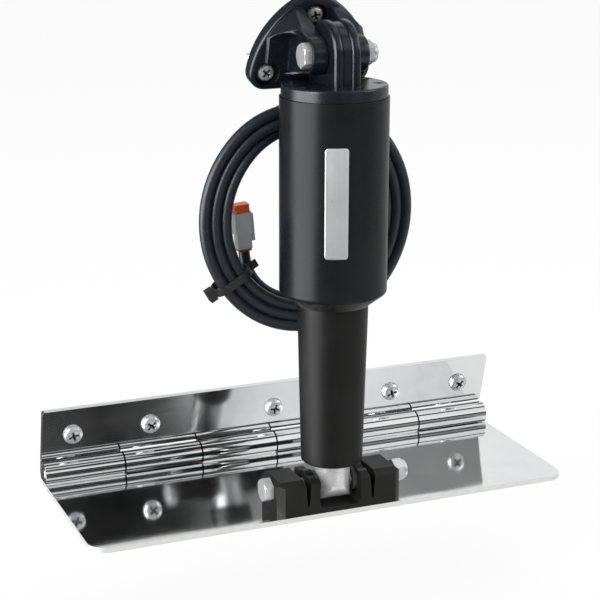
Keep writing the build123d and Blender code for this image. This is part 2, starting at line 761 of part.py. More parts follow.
with BuildPart() as top_cap:
    with BuildSketch(across.offset(housing_end)):
        Circle(cap_radius)
    extrude(amount=cap_height)
    fillet(top_cap.edges().sort_by(Axis.Z)[-1], radius=cap_edge)
    with BuildSketch(across.offset(housing_end)):
        Circle(spigot_radius)
    extrude(amount=-cap_spigot_depth)
    with BuildSketch(across.offset(housing_end - cap_spigot_depth)):
        Circle(cap_recess_radius)
    extrude(amount=cap_recess_depth, mode=Mode.SUBTRACT)
    # Groove round the spigot for its seal
    groove_height = 2 * o_ring_radius + 0.1
    with BuildSketch(across.offset(housing_end - cap_spigot_depth / 2 - groove_height / 2)):
        Circle(spigot_radius)
        Circle(spigot_radius - o_ring_groove_depth, mode=Mode.SUBTRACT)
    extrude(amount=groove_height, mode=Mode.SUBTRACT)
    # Eye: the cheeks with a lower core between them
    add(eye_cheeks.part)
    with BuildSketch(upper_pivot.offset(-eye_groove_width / 2)):
        Circle(eye_radius - eye_groove_depth)
        with Locations((0, -eye_foot)):
            core_width = 2 * (eye_radius - eye_groove_depth)
            Rectangle(core_width, eye_foot, align=(Align.CENTER, Align.MIN))
    extrude(amount=eye_groove_width)
    with BuildSketch(upper_pivot.offset(-eye_width / 2)):
        Circle(bush_radius)
    extrude(amount=eye_width, mode=Mode.SUBTRACT)
    with BuildSketch(across.offset(cap_top)):
        with Locations(*cap_screw_spots):
            Circle(cap_screw_head_radius + screw_hole_clearance)
    extrude(amount=-cap_screw_head_height, mode=Mode.SUBTRACT)
    with BuildSketch(across.offset(cap_top)):
        with Locations(*cap_screw_spots):
            Circle(cap_screw_radius + pin_fit)
    extrude(amount=-cap_height - cap_spigot_depth, mode=Mode.SUBTRACT)
save(top_cap.part, "top_cap")

with BuildPart() as eye_bush:
    with BuildSketch(upper_pivot.offset(-eye_width / 2)):
        Circle(bush_radius - bush_fit)
        Circle(bolt_bore_radius, mode=Mode.SUBTRACT)
    extrude(amount=eye_width)
save(eye_bush.part, "eye_bush")

with BuildPart() as cap_screws:
    with BuildSketch(across.offset(cap_top - cap_screw_head_height)):
        with Locations(*cap_screw_spots):
            Circle(cap_screw_head_radius)
    extrude(amount=cap_screw_head_height)
    with BuildSketch(across.offset(cap_top)):
        with Locations(*cap_screw_spots):
            RegularPolygon(cap_screw_head_radius * 0.5, 6)
    extrude(amount=-cap_screw_head_height * 0.7, mode=Mode.SUBTRACT)
    with BuildSketch(across.offset(cap_top - cap_screw_head_height)):
        with Locations(*cap_screw_spots):
            Circle(cap_screw_radius)
    extrude(amount=-cap_screw_length)
save(cap_screws.part, "cap_screws")

with BuildPart() as cap_o_ring:
    ring_centre = spigot_radius - o_ring_groove_depth + o_ring_radius + pin_fit
    with BuildSketch(profile):
        with Locations((ring_centre, housing_end - cap_spigot_depth / 2)):
            Circle(o_ring_radius)
    revolve(axis=actuator_axis)
save(cap_o_ring.part, "cap_o_ring")

# Upper bracket: pick-shaped base, two flared ears with recessed bolt bosses
bracket_base = Plane(
    origin=transom.from_local_coords((0, upper_pin_rise, 0)),
    x_dir=transom.x_dir,
    z_dir=transom.z_dir,
)
base_screw_spots = [
    (0, base_screw_top),
    (-base_screw_x, base_screw_bottom),
    (base_screw_x, base_screw_bottom),
]
ear_inside = eye_width / 2 + ear_gap
pivot_section = Plane(origin=upper_pin, x_dir=transom.z_dir * -1, z_dir=(1, 0, 0))
pivot_plan = Plane(origin=upper_pin, x_dir=(1, 0, 0), z_dir=transom.y_dir)
arm_reach = upper_pivot_standoff - base_thickness + 1
with BuildSketch(bracket_base) as base_outline:
    with BuildLine():
        Line((-base_half_width, base_bottom), (base_half_width, base_bottom))
        ThreePointArc((base_half_width, base_bottom), (base_side_x, base_side_y), (0, base_top))
        ThreePointArc((0, base_top), (-base_side_x, base_side_y), (-base_half_width, base_bottom))
    make_face()
    fillet(base_outline.vertices().group_by(Axis.Y)[0], radius=base_corner_radius)
    fillet(base_outline.vertices().sort_by(Axis.Y)[-1], radius=base_top_corner_radius)

# Arms of the bracket's ears: side outline crossed with plan outline, inside the base's outline
with BuildPart() as bracket_arms:
    with BuildSketch(pivot_section.offset(-ear_inside - ear_root_width)):
        Polygon(
            (0, ear_waist_height),
            (0, -ear_waist_height),
            (arm_reach, ear_root_bottom),
            (arm_reach, ear_root_top),
        )
    extrude(amount=2 * (ear_inside + ear_root_width))
    with BuildSketch(pivot_plan):
        for side in (-1, 1):
            Polygon(
                (side * ear_inside, 0),
                (side * ear_waist_end, 0),
                (side * ear_waist_end, ear_waist_reach),
                (side * (ear_inside + ear_root_width), arm_reach),
                (side * ear_inside, arm_reach),
            )
    extrude(amount=2 * ear_root_top, both=True, mode=Mode.INTERSECT)
    with BuildSketch(bracket_base):
        offset(base_outline.sketch_local, amount=-arm_inset)
    extrude(amount=2 * upper_pivot_standoff, mode=Mode.INTERSECT)

with BuildPart() as upper_bracket:
    extrude(base_outline.sketch, amount=base_thickness)
    outer_face = upper_bracket.faces().sort_by(Axis((0, 0, 0), tuple(transom.z_dir)))[-1]
    fillet(outer_face.edges(), radius=base_edge_rounding)
    add(bracket_arms.part)
    # Boss round the bolt on each ear, a little smaller at its outer end
    for side in (-1, 1):
        with BuildSketch(pivot_section.offset(side * ear_inside)):
            Circle(ear_boss_radius)
        with BuildSketch(pivot_section.offset(side * ear_boss_end)):
            Circle(ear_boss_end_radius)
        loft()
    # Hollow outside each ear: round at the bolt, opening out towards the base
    for side in (-1, 1):
        with BuildSketch(pivot_section.offset(side * ear_recess_floor)):
            Circle(ear_recess_radius)
            with BuildLine():
                Polyline(
                    (0, -ear_recess_radius),
                    (ear_hollow_reach, ear_hollow_bottom),
                    (ear_hollow_reach, ear_hollow_top),
                )
                ThreePointArc(
                    (ear_hollow_reach, ear_hollow_top),
                    (ear_hollow_reach / 2, ear_hollow_crown),
                    (0, ear_recess_radius),
                )
                Line((0, ear_recess_radius), (0, -ear_recess_radius))
            make_face()
        extrude(amount=side * ear_root_width, mode=Mode.SUBTRACT)
    with BuildSketch(pivot_section.offset(-ear_boss_end)):
        Circle(bolt_bore_radius)
    extrude(amount=2 * ear_boss_end, mode=Mode.SUBTRACT)
    with BuildSketch(bracket_base.offset(base_thickness - pocket_depth)):
        with Locations(*base_screw_spots):
            Circle(pocket_radius)
    extrude(amount=upper_pivot_standoff, mode=Mode.SUBTRACT)
    with BuildSketch(bracket_base):
        with Locations(*base_screw_spots):
            Circle(base_screw_radius + screw_hole_clearance)
    extrude(amount=base_thickness, mode=Mode.SUBTRACT)
save(upper_bracket.part, "upper_bracket")

upper_bolt_end = ear_recess_floor + nut_height + bolt_tip
save(hex_bolt(upper_pivot, -ear_recess_floor, upper_bolt_end), "upper_pivot_bolt")
save(lock_nut(upper_pivot, ear_recess_floor), "upper_pivot_nut")

upper_bracket_screws = Compound(
    children=[
        cross_screw(
            seat_at(bracket_base, x, y, base_thickness - pocket_depth),
            base_screw_head_radius,
            base_screw_head_height,
            base_screw_radius,
            base_screw_length,
            base_thickness - pocket_depth + side_clearance,
        )
        for x, y in base_screw_spots
    ]
)
save(upper_bracket_screws, "upper_bracket_screws")

# Gland and strain relief below the cable outlet
gland_plane = Plane(
    origin=across.from_local_coords((0, coil_middle, outlet_bottom)),
    x_dir=(1, 0, 0),
    z_dir=axis_direction * -1,
)
with BuildPart() as cable_gland:
    with BuildSketch(gland_plane):
        RegularPolygon(gland_radius, 6, major_radius=False)
    extrude(amount=gland_height)
    with BuildSketch(gland_plane):
        Circle(cable_diameter / 2)
    extrude(amount=gland_height, mode=Mode.SUBTRACT)
save(cable_gland.part, "cable_gland")

relief_plane = gland_plane.offset(gland_height)
relief_end = outlet_bottom - gland_height - relief_length
with BuildPart() as strain_relief:
    with BuildSketch(relief_plane):
        Circle(relief_top_radius)
    with BuildSketch(relief_plane.offset(relief_length)):
        Circle(relief_tip_radius)
    loft()
    with BuildSketch(relief_plane):
        Circle(cable_diameter / 2)
    extrude(amount=relief_length, mode=Mode.SUBTRACT)
save(strain_relief.part, "strain_relief")

# Coil of cable behind the housing, one solid of its outer shape
coil_plane = Plane(
    origin=across.from_local_coords((coil_centre_x, coil_front + coil_thickness, coil_centre_height)),
    x_dir=(1, 0, 0),
    z_dir=across.y_dir * -1,
)
with BuildPart() as cable_coil:
    with BuildSketch(coil_plane):
        Ellipse(coil_outer_half_width, coil_outer_half_height)
        Ellipse(coil_inner_half_width, coil_inner_half_height, mode=Mode.SUBTRACT)
    extrude(amount=coil_thickness)
    fillet(cable_coil.edges().filter_by(lambda e: e.length > 100), radius=coil_rounding)
save(cable_coil.part, "cable_coil")


def on_coil_plane(point):
    """A point given across and up the axis, in the middle of the coil's thickness."""
    return across.from_local_coords((point[0], coil_middle, point[1]))


def bend_radii(points):
    """The largest arc that each corner of a route has room for."""
    radii = []
    for before, corner, after in zip(points, points[1:], points[2:]):
        first = corner - before
        second = after - corner
        half_turn = radians(first.get_angle(second)) / 2
        radii.append(0.45 * min(first.length, second.length) / tan(half_turn))
    return radii


lead_route = [on_coil_plane(point) for point in [(0, relief_end)] + lead_points]
lead_radii = bend_radii(lead_route)
print("lead radii", [round(radius, 1) for radius in lead_radii])
with BuildPart() as cable_lead:
    with BuildLine() as lead_path:
        FilletPolyline(*lead_route, radius=lead_radii)
    with BuildSketch(Plane(origin=lead_route[0], x_dir=(1, 0, 0), z_dir=axis_direction * -1)):
        Circle(cable_diameter / 2)
    sweep(path=lead_path.wires()[0])
    tube_volume = cable_lead.part.volume
    section_times_length = pi * cable_diameter**2 / 4 * lead_path.wires()[0].length
    print("lead volume", round(tube_volume, 1), "section times length", round(section_times_length, 1))
    add(cable_coil.part, mode=Mode.SUBTRACT)
save(cable_lead.part, "cable_lead")

# Plug on the cable's end, inside the coil, and the short tail that enters it
plug_origin = on_coil_plane((plug_foot_x, plug_foot_height))
plug_direction = axis_direction * cos(radians(plug_tilt)) - Vector(1, 0, 0) * sin(radians(plug_tilt))
plug_across = Vector(1, 0, 0) * cos(radians(plug_tilt)) + axis_direction * sin(radians(plug_tilt))
plug_plane = Plane(origin=plug_origin, x_dir=plug_across, z_dir=plug_direction)
with BuildPart() as cable_tail:
    tail_from = on_coil_plane(tail_start)
    with BuildSketch(Plane(origin=tail_from, z_dir=(plug_origin - tail_from).normalized())):
        Circle(cable_diameter / 2)
    extrude(amount=2 * (plug_origin - tail_from).length)
    with BuildSketch(plug_plane):
        Rectangle(4 * plug_width, 4 * plug_depth)
    extrude(amount=4 * plug_front_height, mode=Mode.SUBTRACT)
    add(cable_coil.part, mode=Mode.SUBTRACT)
save(cable_tail.part, "cable_tail")

with BuildPart() as plug_seal:
    with BuildSketch(plug_plane):
        seal_inset = 2 * plug_rear_step + 1
        RectangleRounded(plug_width - seal_inset, plug_depth - seal_inset, plug_rounding)
    extrude(amount=plug_seal_height)
save(plug_seal.part, "plug_seal")

with BuildPart() as plug_shell:
    rear_width = plug_width - 2 * plug_rear_step
    with BuildSketch(plug_plane.offset(plug_seal_height)):
        RectangleRounded(rear_width, plug_depth - 2 * plug_rear_step, plug_rounding)
    extrude(amount=plug_rear_height)
    with BuildSketch(plug_plane.offset(plug_seal_height + plug_rear_height)):
        RectangleRounded(plug_width, plug_depth, plug_rounding)
    extrude(amount=plug_front_height)
    latch_start = plug_seal_height + plug_rear_height + plug_front_height - plug_latch_length - 2
    with BuildSketch(plug_plane.offset(latch_start)):
        with Locations((plug_width / 2 + plug_latch_height / 2, 0)):
            Rectangle(plug_latch_height, plug_latch_width)
    extrude(amount=plug_latch_length)
save(plug_shell.part, "plug_shell")

with BuildPart() as plug_wedge:
    with BuildSketch(plug_plane.offset(plug_seal_height + plug_rear_height + plug_front_height)):
        wedge_width = plug_width - 2 * plug_wedge_step
        RectangleRounded(wedge_width, plug_depth - 2 * plug_wedge_step, plug_rounding)
    extrude(amount=plug_wedge_height)
save(plug_wedge.part, "plug_wedge")

# Cable tie round the coil, low on its left, its head outside and its tail inside
tie_mid_half_width = coil_outer_half_width - coil_width / 2
tie_mid_half_height = coil_outer_half_height - coil_width / 2
tie_normal_x = cos(radians(tie_angle)) / tie_mid_half_width
tie_normal_z = sin(radians(tie_angle)) / tie_mid_half_height
tie_length = sqrt(tie_normal_x**2 + tie_normal_z**2)
tie_outward = (Vector(1, 0, 0) * tie_normal_x + axis_direction * tie_normal_z) / tie_length
tie_centre = on_coil_plane(
    (
        coil_centre_x + tie_mid_half_width * cos(radians(tie_angle)),
        coil_centre_height + tie_mid_half_height * sin(radians(tie_angle)),
    )
)
tie_plane = Plane(origin=tie_centre, x_dir=tie_outward, z_dir=tie_outward.cross(across.y_dir))
with BuildPart() as cable_tie:
    inside_width = coil_width + 2 * tie_clearance
    inside_depth = coil_thickness + 2 * tie_clearance
    with BuildSketch(tie_plane):
        outside_width = inside_width + 2 * tie_thickness
        outside_depth = inside_depth + 2 * tie_thickness
        RectangleRounded(outside_width, outside_depth, coil_rounding + tie_thickness)
        RectangleRounded(inside_width, inside_depth, coil_rounding, mode=Mode.SUBTRACT)
    extrude(amount=tie_width / 2, both=True)
    with BuildSketch(tie_plane):
        with Locations((outside_width / 2 + tie_head_height / 2 - 0.2, 0)):
            Rectangle(tie_head_height, tie_head_width)
    extrude(amount=tie_head_length / 2, both=True)
    with BuildSketch(tie_plane):
        with Locations((-outside_width / 2 - tie_tail_length / 2 + 0.4, 0)):
            Rectangle(tie_tail_length, tie_thickness)
    extrude(amount=tie_width / 2, both=True)
save(cable_tie.part, "cable_tie")

print("hinge axis", hinge_centre, "tab top", round(tab_top, 3))
print("lower pin", lower_pin, "upper pin", upper_pin, "axis", axis_direction)
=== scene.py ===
import json
from math import cos, pi, radians, sin, sqrt

import bmesh
import bpy
from mathutils import Matrix, Vector


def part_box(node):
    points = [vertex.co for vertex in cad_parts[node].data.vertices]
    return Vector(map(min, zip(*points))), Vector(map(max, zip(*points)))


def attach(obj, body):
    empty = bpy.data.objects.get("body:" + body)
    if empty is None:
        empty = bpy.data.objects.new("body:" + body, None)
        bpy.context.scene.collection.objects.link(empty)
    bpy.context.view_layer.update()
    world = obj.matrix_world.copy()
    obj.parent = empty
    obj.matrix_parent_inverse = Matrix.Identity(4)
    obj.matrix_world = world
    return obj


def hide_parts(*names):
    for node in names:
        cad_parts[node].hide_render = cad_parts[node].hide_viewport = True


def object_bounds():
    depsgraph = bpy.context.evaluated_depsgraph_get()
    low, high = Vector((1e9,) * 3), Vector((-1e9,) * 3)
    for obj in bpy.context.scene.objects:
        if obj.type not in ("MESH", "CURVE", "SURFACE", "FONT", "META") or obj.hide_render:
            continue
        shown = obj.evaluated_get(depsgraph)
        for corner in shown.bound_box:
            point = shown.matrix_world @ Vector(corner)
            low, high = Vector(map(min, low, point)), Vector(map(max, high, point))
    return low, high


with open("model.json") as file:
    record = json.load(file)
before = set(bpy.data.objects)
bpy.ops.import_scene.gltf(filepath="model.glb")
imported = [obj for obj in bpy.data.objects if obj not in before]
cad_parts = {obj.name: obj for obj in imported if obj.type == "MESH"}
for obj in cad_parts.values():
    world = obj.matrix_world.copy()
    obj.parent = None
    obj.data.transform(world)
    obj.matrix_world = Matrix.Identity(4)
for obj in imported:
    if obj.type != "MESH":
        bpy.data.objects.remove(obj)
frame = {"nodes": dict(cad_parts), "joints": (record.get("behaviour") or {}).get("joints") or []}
cad_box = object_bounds()
nodes = frame["nodes"]
joints = {joint["name"]: joint for joint in frame["joints"]}
MM = 0.001

# Places of the CAD part, in millimetres; the helpers below turn them into metres
X_AXIS = Vector((1, 0, 0))
RAKE = radians(14.0)
TRANSOM_UP = Vector((0, -sin(RAKE), cos(RAKE)))
TRANSOM_OUT = Vector((0, -cos(RAKE), -sin(RAKE)))
LOWER_PIVOT = Vector(joints["lower_pivot"]["pos_m"]) / MM
UPPER_PIVOT = Vector(joints["upper_pivot"]["pos_m"]) / MM
ACTUATOR_UP = Vector(joints["ram_slide"]["axis"])
ACTUATOR_IN = ACTUATOR_UP.cross(X_AXIS)
HOUSING_RADIUS = 31.2
SHEET = 3.0
HINGE_SPAN = 304.8
KNUCKLE = HINGE_SPAN / 6


def on_actuator(x, depth, height):
    """Point by its place beside and behind the actuator's axis, and its height on it."""
    place = LOWER_PIVOT + Vector((x, 0, 0)) + ACTUATOR_IN * depth + ACTUATOR_UP * height
    return place * MM


def on_transom(x, rise, out):
    """Point by its rise on the transom's plane and its distance out of it."""
    return (Vector((x, 0, 0)) + TRANSOM_UP * rise + TRANSOM_OUT * out) * MM


def turned(z_axis, x_axis, origin):
    """Matrix of a frame with the given axes and origin."""
    z_axis = z_axis.normalized()
    y_axis = z_axis.cross(x_axis).normalized()
    x_axis = y_axis.cross(z_axis)
    matrix = Matrix((x_axis, y_axis, z_axis)).transposed().to_4x4()
    matrix.translation = origin
    return matrix


def placed(name, data):
    """New object of the given data, in the scene."""
    made = bpy.data.objects.new(name, data)
    bpy.context.scene.collection.objects.link(made)
    return made


def finished(shape, name):
    """Mesh made of a shape, which is used up."""
    mesh = bpy.data.meshes.new(name)
    shape.to_mesh(mesh)
    shape.free()
    return mesh


# Camera
TARGET = Vector((0.0214, 0.006795, 0.05679))
AZIMUTH = radians(22.4)
ELEVATION = radians(15.7)
DISTANCE = 1.092
camera = placed("camera", bpy.data.cameras.new("camera"))
offset = Vector((
    -sin(AZIMUTH) * cos(ELEVATION),
    -cos(AZIMUTH) * cos(ELEVATION),
    sin(ELEVATION),
))
camera.location = TARGET + offset * DISTANCE
camera.rotation_euler = (-offset).to_track_quat("-Z", "Y").to_euler()
camera.data.sensor_width = 36
camera.data.lens = 102
camera.data.clip_start = 0.01
bpy.context.scene.camera = camera

# Cable
CABLE = 6.8
COIL_X = -1.4
COIL_HEIGHT = 153.9
COIL_SLACK = 3.5  # how much a turn's half height is over its half width
COIL_SCALE = 0.981  # the reaches below are at this share of full size
COIL_START = 236.0
COIL_END = -1170.0
STEP = 22.5
CLOSE_STEP = 11.25
CLOSE_STEPS_TO = 215.0
FRONT = 35.5
REAR = 42.4


def coil_point(angle, reach, depth):
    """Point of a turn: its angle, its half width and its depth behind the axis."""
    reach = reach / COIL_SCALE
    x = COIL_X + reach * cos(radians(angle))
    height = COIL_HEIGHT + (reach + COIL_SLACK) * sin(radians(angle))
    return on_actuator(x, depth, height)


def between(angle, stops):
    """Value at a falling angle, on the straight runs between (angle, value) stops."""
    for (start, low), (end, high) in zip(stops, stops[1:]):
        if start >= angle >= end:
            share = (start - angle) / (start - end)
            return low + (high - low) * share
    return stops[-1][1]


# The turns run clockwise, seen from behind the boat; an angle falls by 360 each turn
reach_by_angle = [
    (236, 59.4), (214, 57.6), (160, 54.8), (128, 56.0), (92, 64.2), (0, 64.6),
    (-110, 63.6), (-142, 63.3), (-180, 64.4), (-248, 64.2), (-288, 57.8), (-360, 57.9),
    (-470, 57.2), (-502, 57.0), (-540, 57.8), (-608, 57.5), (-648, 51.2), (-720, 51.2),
    (-830, 51.0), (-862, 50.8), (-900, 51.2), (-960, 51.0), (-1000, 48.2), (-1080, 46.9),
    (-1190, 46.9),
]
depth_by_angle = [
    (236, 43.4), (210, REAR), (96, REAR), (52, FRONT), (-948, FRONT),
    (-992, REAR), (-1190, REAR),
]
lead = [
    (0.0, 38.9, 159.4), (0.0, 38.9, 152.5), (2.3, 39.3, 143.8), (6.2, 40.8, 135.7),
    (8.1, 43.4, 126.9), (7.9, 46.2, 118.3), (4.1, 48.8, 108.0), (-3.7, 49.7, 100.2),
    (-14.0, 48.4, 95.9), (-25.2, 45.6, 95.9),
]
tail = [
    (-3.0, 42.4, 102.6), (-13.4, 42.6, 103.0), (-23.7, 44.6, 107.3), (-31.5, 47.6, 115.1),
    (-35.6, 49.9, 125.2), (-36.0, 50.3, 133.2),
]
route = [on_actuator(*place) for place in lead]
angle = COIL_START
while angle > COIL_END:
    reach, depth = between(angle, reach_by_angle), between(angle, depth_by_angle)
    route.append(coil_point(angle, reach, depth))
    angle -= CLOSE_STEP if angle > CLOSE_STEPS_TO else STEP
route += [on_actuator(*place) for place in tail]

# The points carry the thickness, because Blender adds a point's radius to a curve's box
cable_curve = bpy.data.curves.new("cable", "CURVE")
cable_curve.dimensions = "3D"
spline = cable_curve.splines.new("NURBS")
spline.points.add(len(route) - 1)
for point, place in zip(spline.points, route):
    point.co = (place.x, place.y, place.z, 1)
    point.radius = CABLE / 2 * MM
spline.order_u = 3
spline.use_endpoint_u = True
cable_curve.resolution_u = 6
cable_curve.bevel_depth = 1.0
cable_curve.bevel_resolution = 6
cable_curve.use_fill_caps = True
cable = placed("cable", cable_curve)
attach(cable, "actuator")
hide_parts("cable_lead", "cable_coil", "cable_tail")


# Materials

class ShaderTree:
    """A tree of shader nodes, with the helpers that fill it."""

    def __init__(self, tree):
        self.tree = tree

    def join(self, source, target):
        self.tree.links.new(source, target)

    def give(self, target, value):
        """Sets an input to a number, vector or colour, or joins an output to it."""
        if isinstance(value, (int, float)):
            target.default_value = value
        elif isinstance(value, tuple):
            target.default_value = (*value, 1) if target.type == "RGBA" else value
        else:
            self.join(value, target)

    def add(self, kind, values=(), **settings):
        """New node with the given settings, and with values for its named inputs."""
        node = self.tree.nodes.new(kind)
        for key, value in settings.items():
            setattr(node, key, value)
        for name, value in dict(values).items():
            self.give(node.inputs[name], value)
        return node

    def maths(self, operation, first, second=None):
        node = self.add("ShaderNodeMath", operation=operation)
        self.give(node.inputs[0], first)
        if second is not None:
            self.give(node.inputs[1], second)
        return node.outputs["Value"]

    def blend(self, share, first, second, kind="MIX"):
        """Two colours blended by a share."""
        node = self.add("ShaderNodeMix", data_type="RGBA", blend_type=kind)
        self.give(node.inputs[0], share)
        colours = [socket for socket in node.inputs if socket.type == "RGBA"]
        self.give(colours[0], first)
        self.give(colours[1], second)
        return [socket for socket in node.outputs if socket.type == "RGBA"][0]

    def ramp(self, value, stops):
        """Grey of a value, on eased runs between (place, brightness) stops."""
        node = self.add("ShaderNodeValToRGB", {"Fac": value})
        node.color_ramp.interpolation = "EASE"
        elements = node.color_ramp.elements
        while len(elements) < len(stops):
            elements.new(0.5)
        for element, (place, shade) in zip(elements, stops):
            element.position = place
            element.color = (shade, shade, shade, 1)
        return node.outputs["Color"]

    def coloured(self, kind, colour, strength=None):
        """Light or surface shader of a colour."""
        node = self.add(kind, {"Color": colour})
        if strength is not None:
            self.give(node.inputs["Strength"], strength)
        return node.outputs[0]

    def either(self, share, first, second):
        """The first shader, or the second where the share is 1."""
        node = self.add("ShaderNodeMixShader")
        for target, source in zip(node.inputs, (share, first, second)):
            self.join(source, target)
        return node.outputs[0]


class Surface(ShaderTree):
    """A material of the object, with the helpers for its look."""

    def __init__(self, name):
        self.material = bpy.data.materials.new(name)
        self.material.use_nodes = True
        super().__init__(self.material.node_tree)
        self.shader = self.tree.nodes["Principled BSDF"]
        self.sockets = self.add("ShaderNodeTexCoord").outputs
        self.place = self.sockets["Object"]

    def stretch(self, scale):
        node = self.add("ShaderNodeMapping", {"Scale": scale, "Vector": self.place})
        return node.outputs["Vector"]

    def noise(self, scale, detail=3.0, roughness=0.55, place=None, distortion=0.0):
        node = self.add("ShaderNodeTexNoise", {
            "Scale": scale, "Detail": detail, "Roughness": roughness,
            "Distortion": distortion, "Vector": place or self.place,
        })
        return node.outputs["Fac"]

    def span(self, value, low, high, start=0.3, end=0.7):
        """A value between start and end, brought to between low and high."""
        node = self.add("ShaderNodeMapRange", {
            "Value": value, "From Min": start, "From Max": end, "To Min": low, "To Max": high,
        })
        return node.outputs["Result"]

    def soft_edges(self, radius):
        """Rounded shading at the edges, and a mask that is 1 on them."""
        bevel = self.add("ShaderNodeBevel", {"Radius": radius}, samples=4)
        shape = self.add("ShaderNodeNewGeometry")
        product = self.add("ShaderNodeVectorMath", operation="DOT_PRODUCT")
        self.join(bevel.outputs["Normal"], product.inputs[0])
        self.join(shape.outputs["Normal"], product.inputs[1])
        mask = self.span(product.outputs["Value"], 1.0, 0.0, start=0.80, end=0.985)
        return bevel.outputs["Normal"], mask

    def axes(self, vector):
        """The three parts of a vector."""
        return self.add("ShaderNodeSeparateXYZ", {"Vector": vector}).outputs

    def hollows(self, distance):
        """Mask that is 1 deep in narrow recesses, where painted shade goes."""
        node = self.add(
            "ShaderNodeAmbientOcclusion", {"Distance": distance}, samples=8, only_local=True,
        )
        return self.span(node.outputs["AO"], 1.0, 0.0, start=0.58, end=0.90)

    def bump(self, height, strength, distance, normal=None):
        node = self.add("ShaderNodeBump", {
            "Strength": strength, "Distance": distance, "Height": height,
        })
        if normal is not None:
            self.join(normal, node.inputs["Normal"])
        return node.outputs["Normal"]

    def finish(self, colour, roughness, normal, metallic=0.0, specular=0.5):
        for name, value in (
            ("Base Color", colour), ("Roughness", roughness), ("Normal", normal),
            ("Metallic", metallic), ("Specular IOR Level", specular),
        ):
            self.give(self.shader.inputs[name], value)
        return self.material


def moulding(name, dark, light, roughness, grain, relief, wear, edge=0.0005, specular=0.45):
    """Moulded plastic: fine eroded grain, faint flow marks and paler rubbed edges."""
    surface = Surface(name)
    broad = surface.noise(26.0, 4.0, 0.6)
    fine = surface.noise(grain, 2.0, 0.5)
    flow = surface.noise(1.0, 3.0, 0.6, place=surface.stretch((40, 40, 260)))
    normal, edges = surface.soft_edges(edge)
    colour = surface.blend(surface.span(broad, 0, 1), dark, light)
    pale = tuple(min(1.0, c * 2.1 + 0.006) for c in light)
    patches = surface.span(surface.noise(160.0, 3.0), 0.15, wear)
    colour = surface.blend(surface.maths("MULTIPLY", edges, patches), colour, pale)
    dust = surface.span(surface.noise(900.0, 2.0, 0.7), 0.0, 0.35, start=0.62, end=0.80)
    colour = surface.blend(dust, colour, tuple(c * 1.5 + 0.003 for c in light))
    uneven = surface.span(broad, -0.05, 0.06), surface.span(fine, -0.03, 0.03)
    rough = surface.maths("ADD", surface.maths("ADD", *uneven), roughness)
    normal = surface.bump(flow, 0.10, 0.0003, normal)
    normal = surface.bump(fine, relief, 0.00012, normal)
    return surface.finish(colour, rough, normal, specular=specular)


def metal(name, dark, light, smooth, rough, brushing, relief, edge=0.0003, painted_recess_shade=0.0,
          metallic=1.0):
    """Bare metal: brushing lines, soft smears, brighter worn edges and painted shade in its
    recesses.
    """
    surface = Surface(name)
    smears = surface.noise(22.0, 4.0, 0.62, distortion=0.6)
    lines = surface.noise(1.0, 2.0, 0.5, place=surface.stretch(brushing))
    pits = surface.noise(1400.0, 2.0, 0.6)
    normal, edges = surface.soft_edges(edge)
    colour = surface.blend(surface.span(smears, 0, 1), dark, light)
    colour = surface.blend(surface.span(lines, 0.0, 0.22), colour, tuple(c * 0.8 for c in dark))
    colour = surface.blend(surface.maths("MULTIPLY", edges, 0.6), colour, (0.93, 0.93, 0.93))
    uneven = surface.span(smears, smooth, rough), surface.span(lines, -0.02, 0.03)
    shade = surface.maths("ADD", *uneven)
    shade = surface.maths("ADD", shade, surface.span(pits, 0.0, 0.02))
    normal = surface.bump(lines, relief, 0.00003, normal)
    normal = surface.bump(pits, relief * 0.5, 0.00002, normal)
    # Painted shade: ambient occlusion darkens the recesses to near black, standing in for the shade
    # inside them
    if painted_recess_shade:
        colour = surface.blend(surface.hollows(painted_recess_shade), colour, (0.03, 0.03, 0.03))
    return surface.finish(colour, shade, normal, metallic=metallic)


SHEET_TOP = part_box("tab_plate")[0].z + (SHEET + 0.05) * MM
BARREL_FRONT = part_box("hinge_flange")[0].y - 0.2 * MM
FLANGE_FACE = SHEET + 0.2  # just out of the flange's flat face
JOINT_SHADE_WIDTH = 1.1  # width of a line of painted shade at a joint
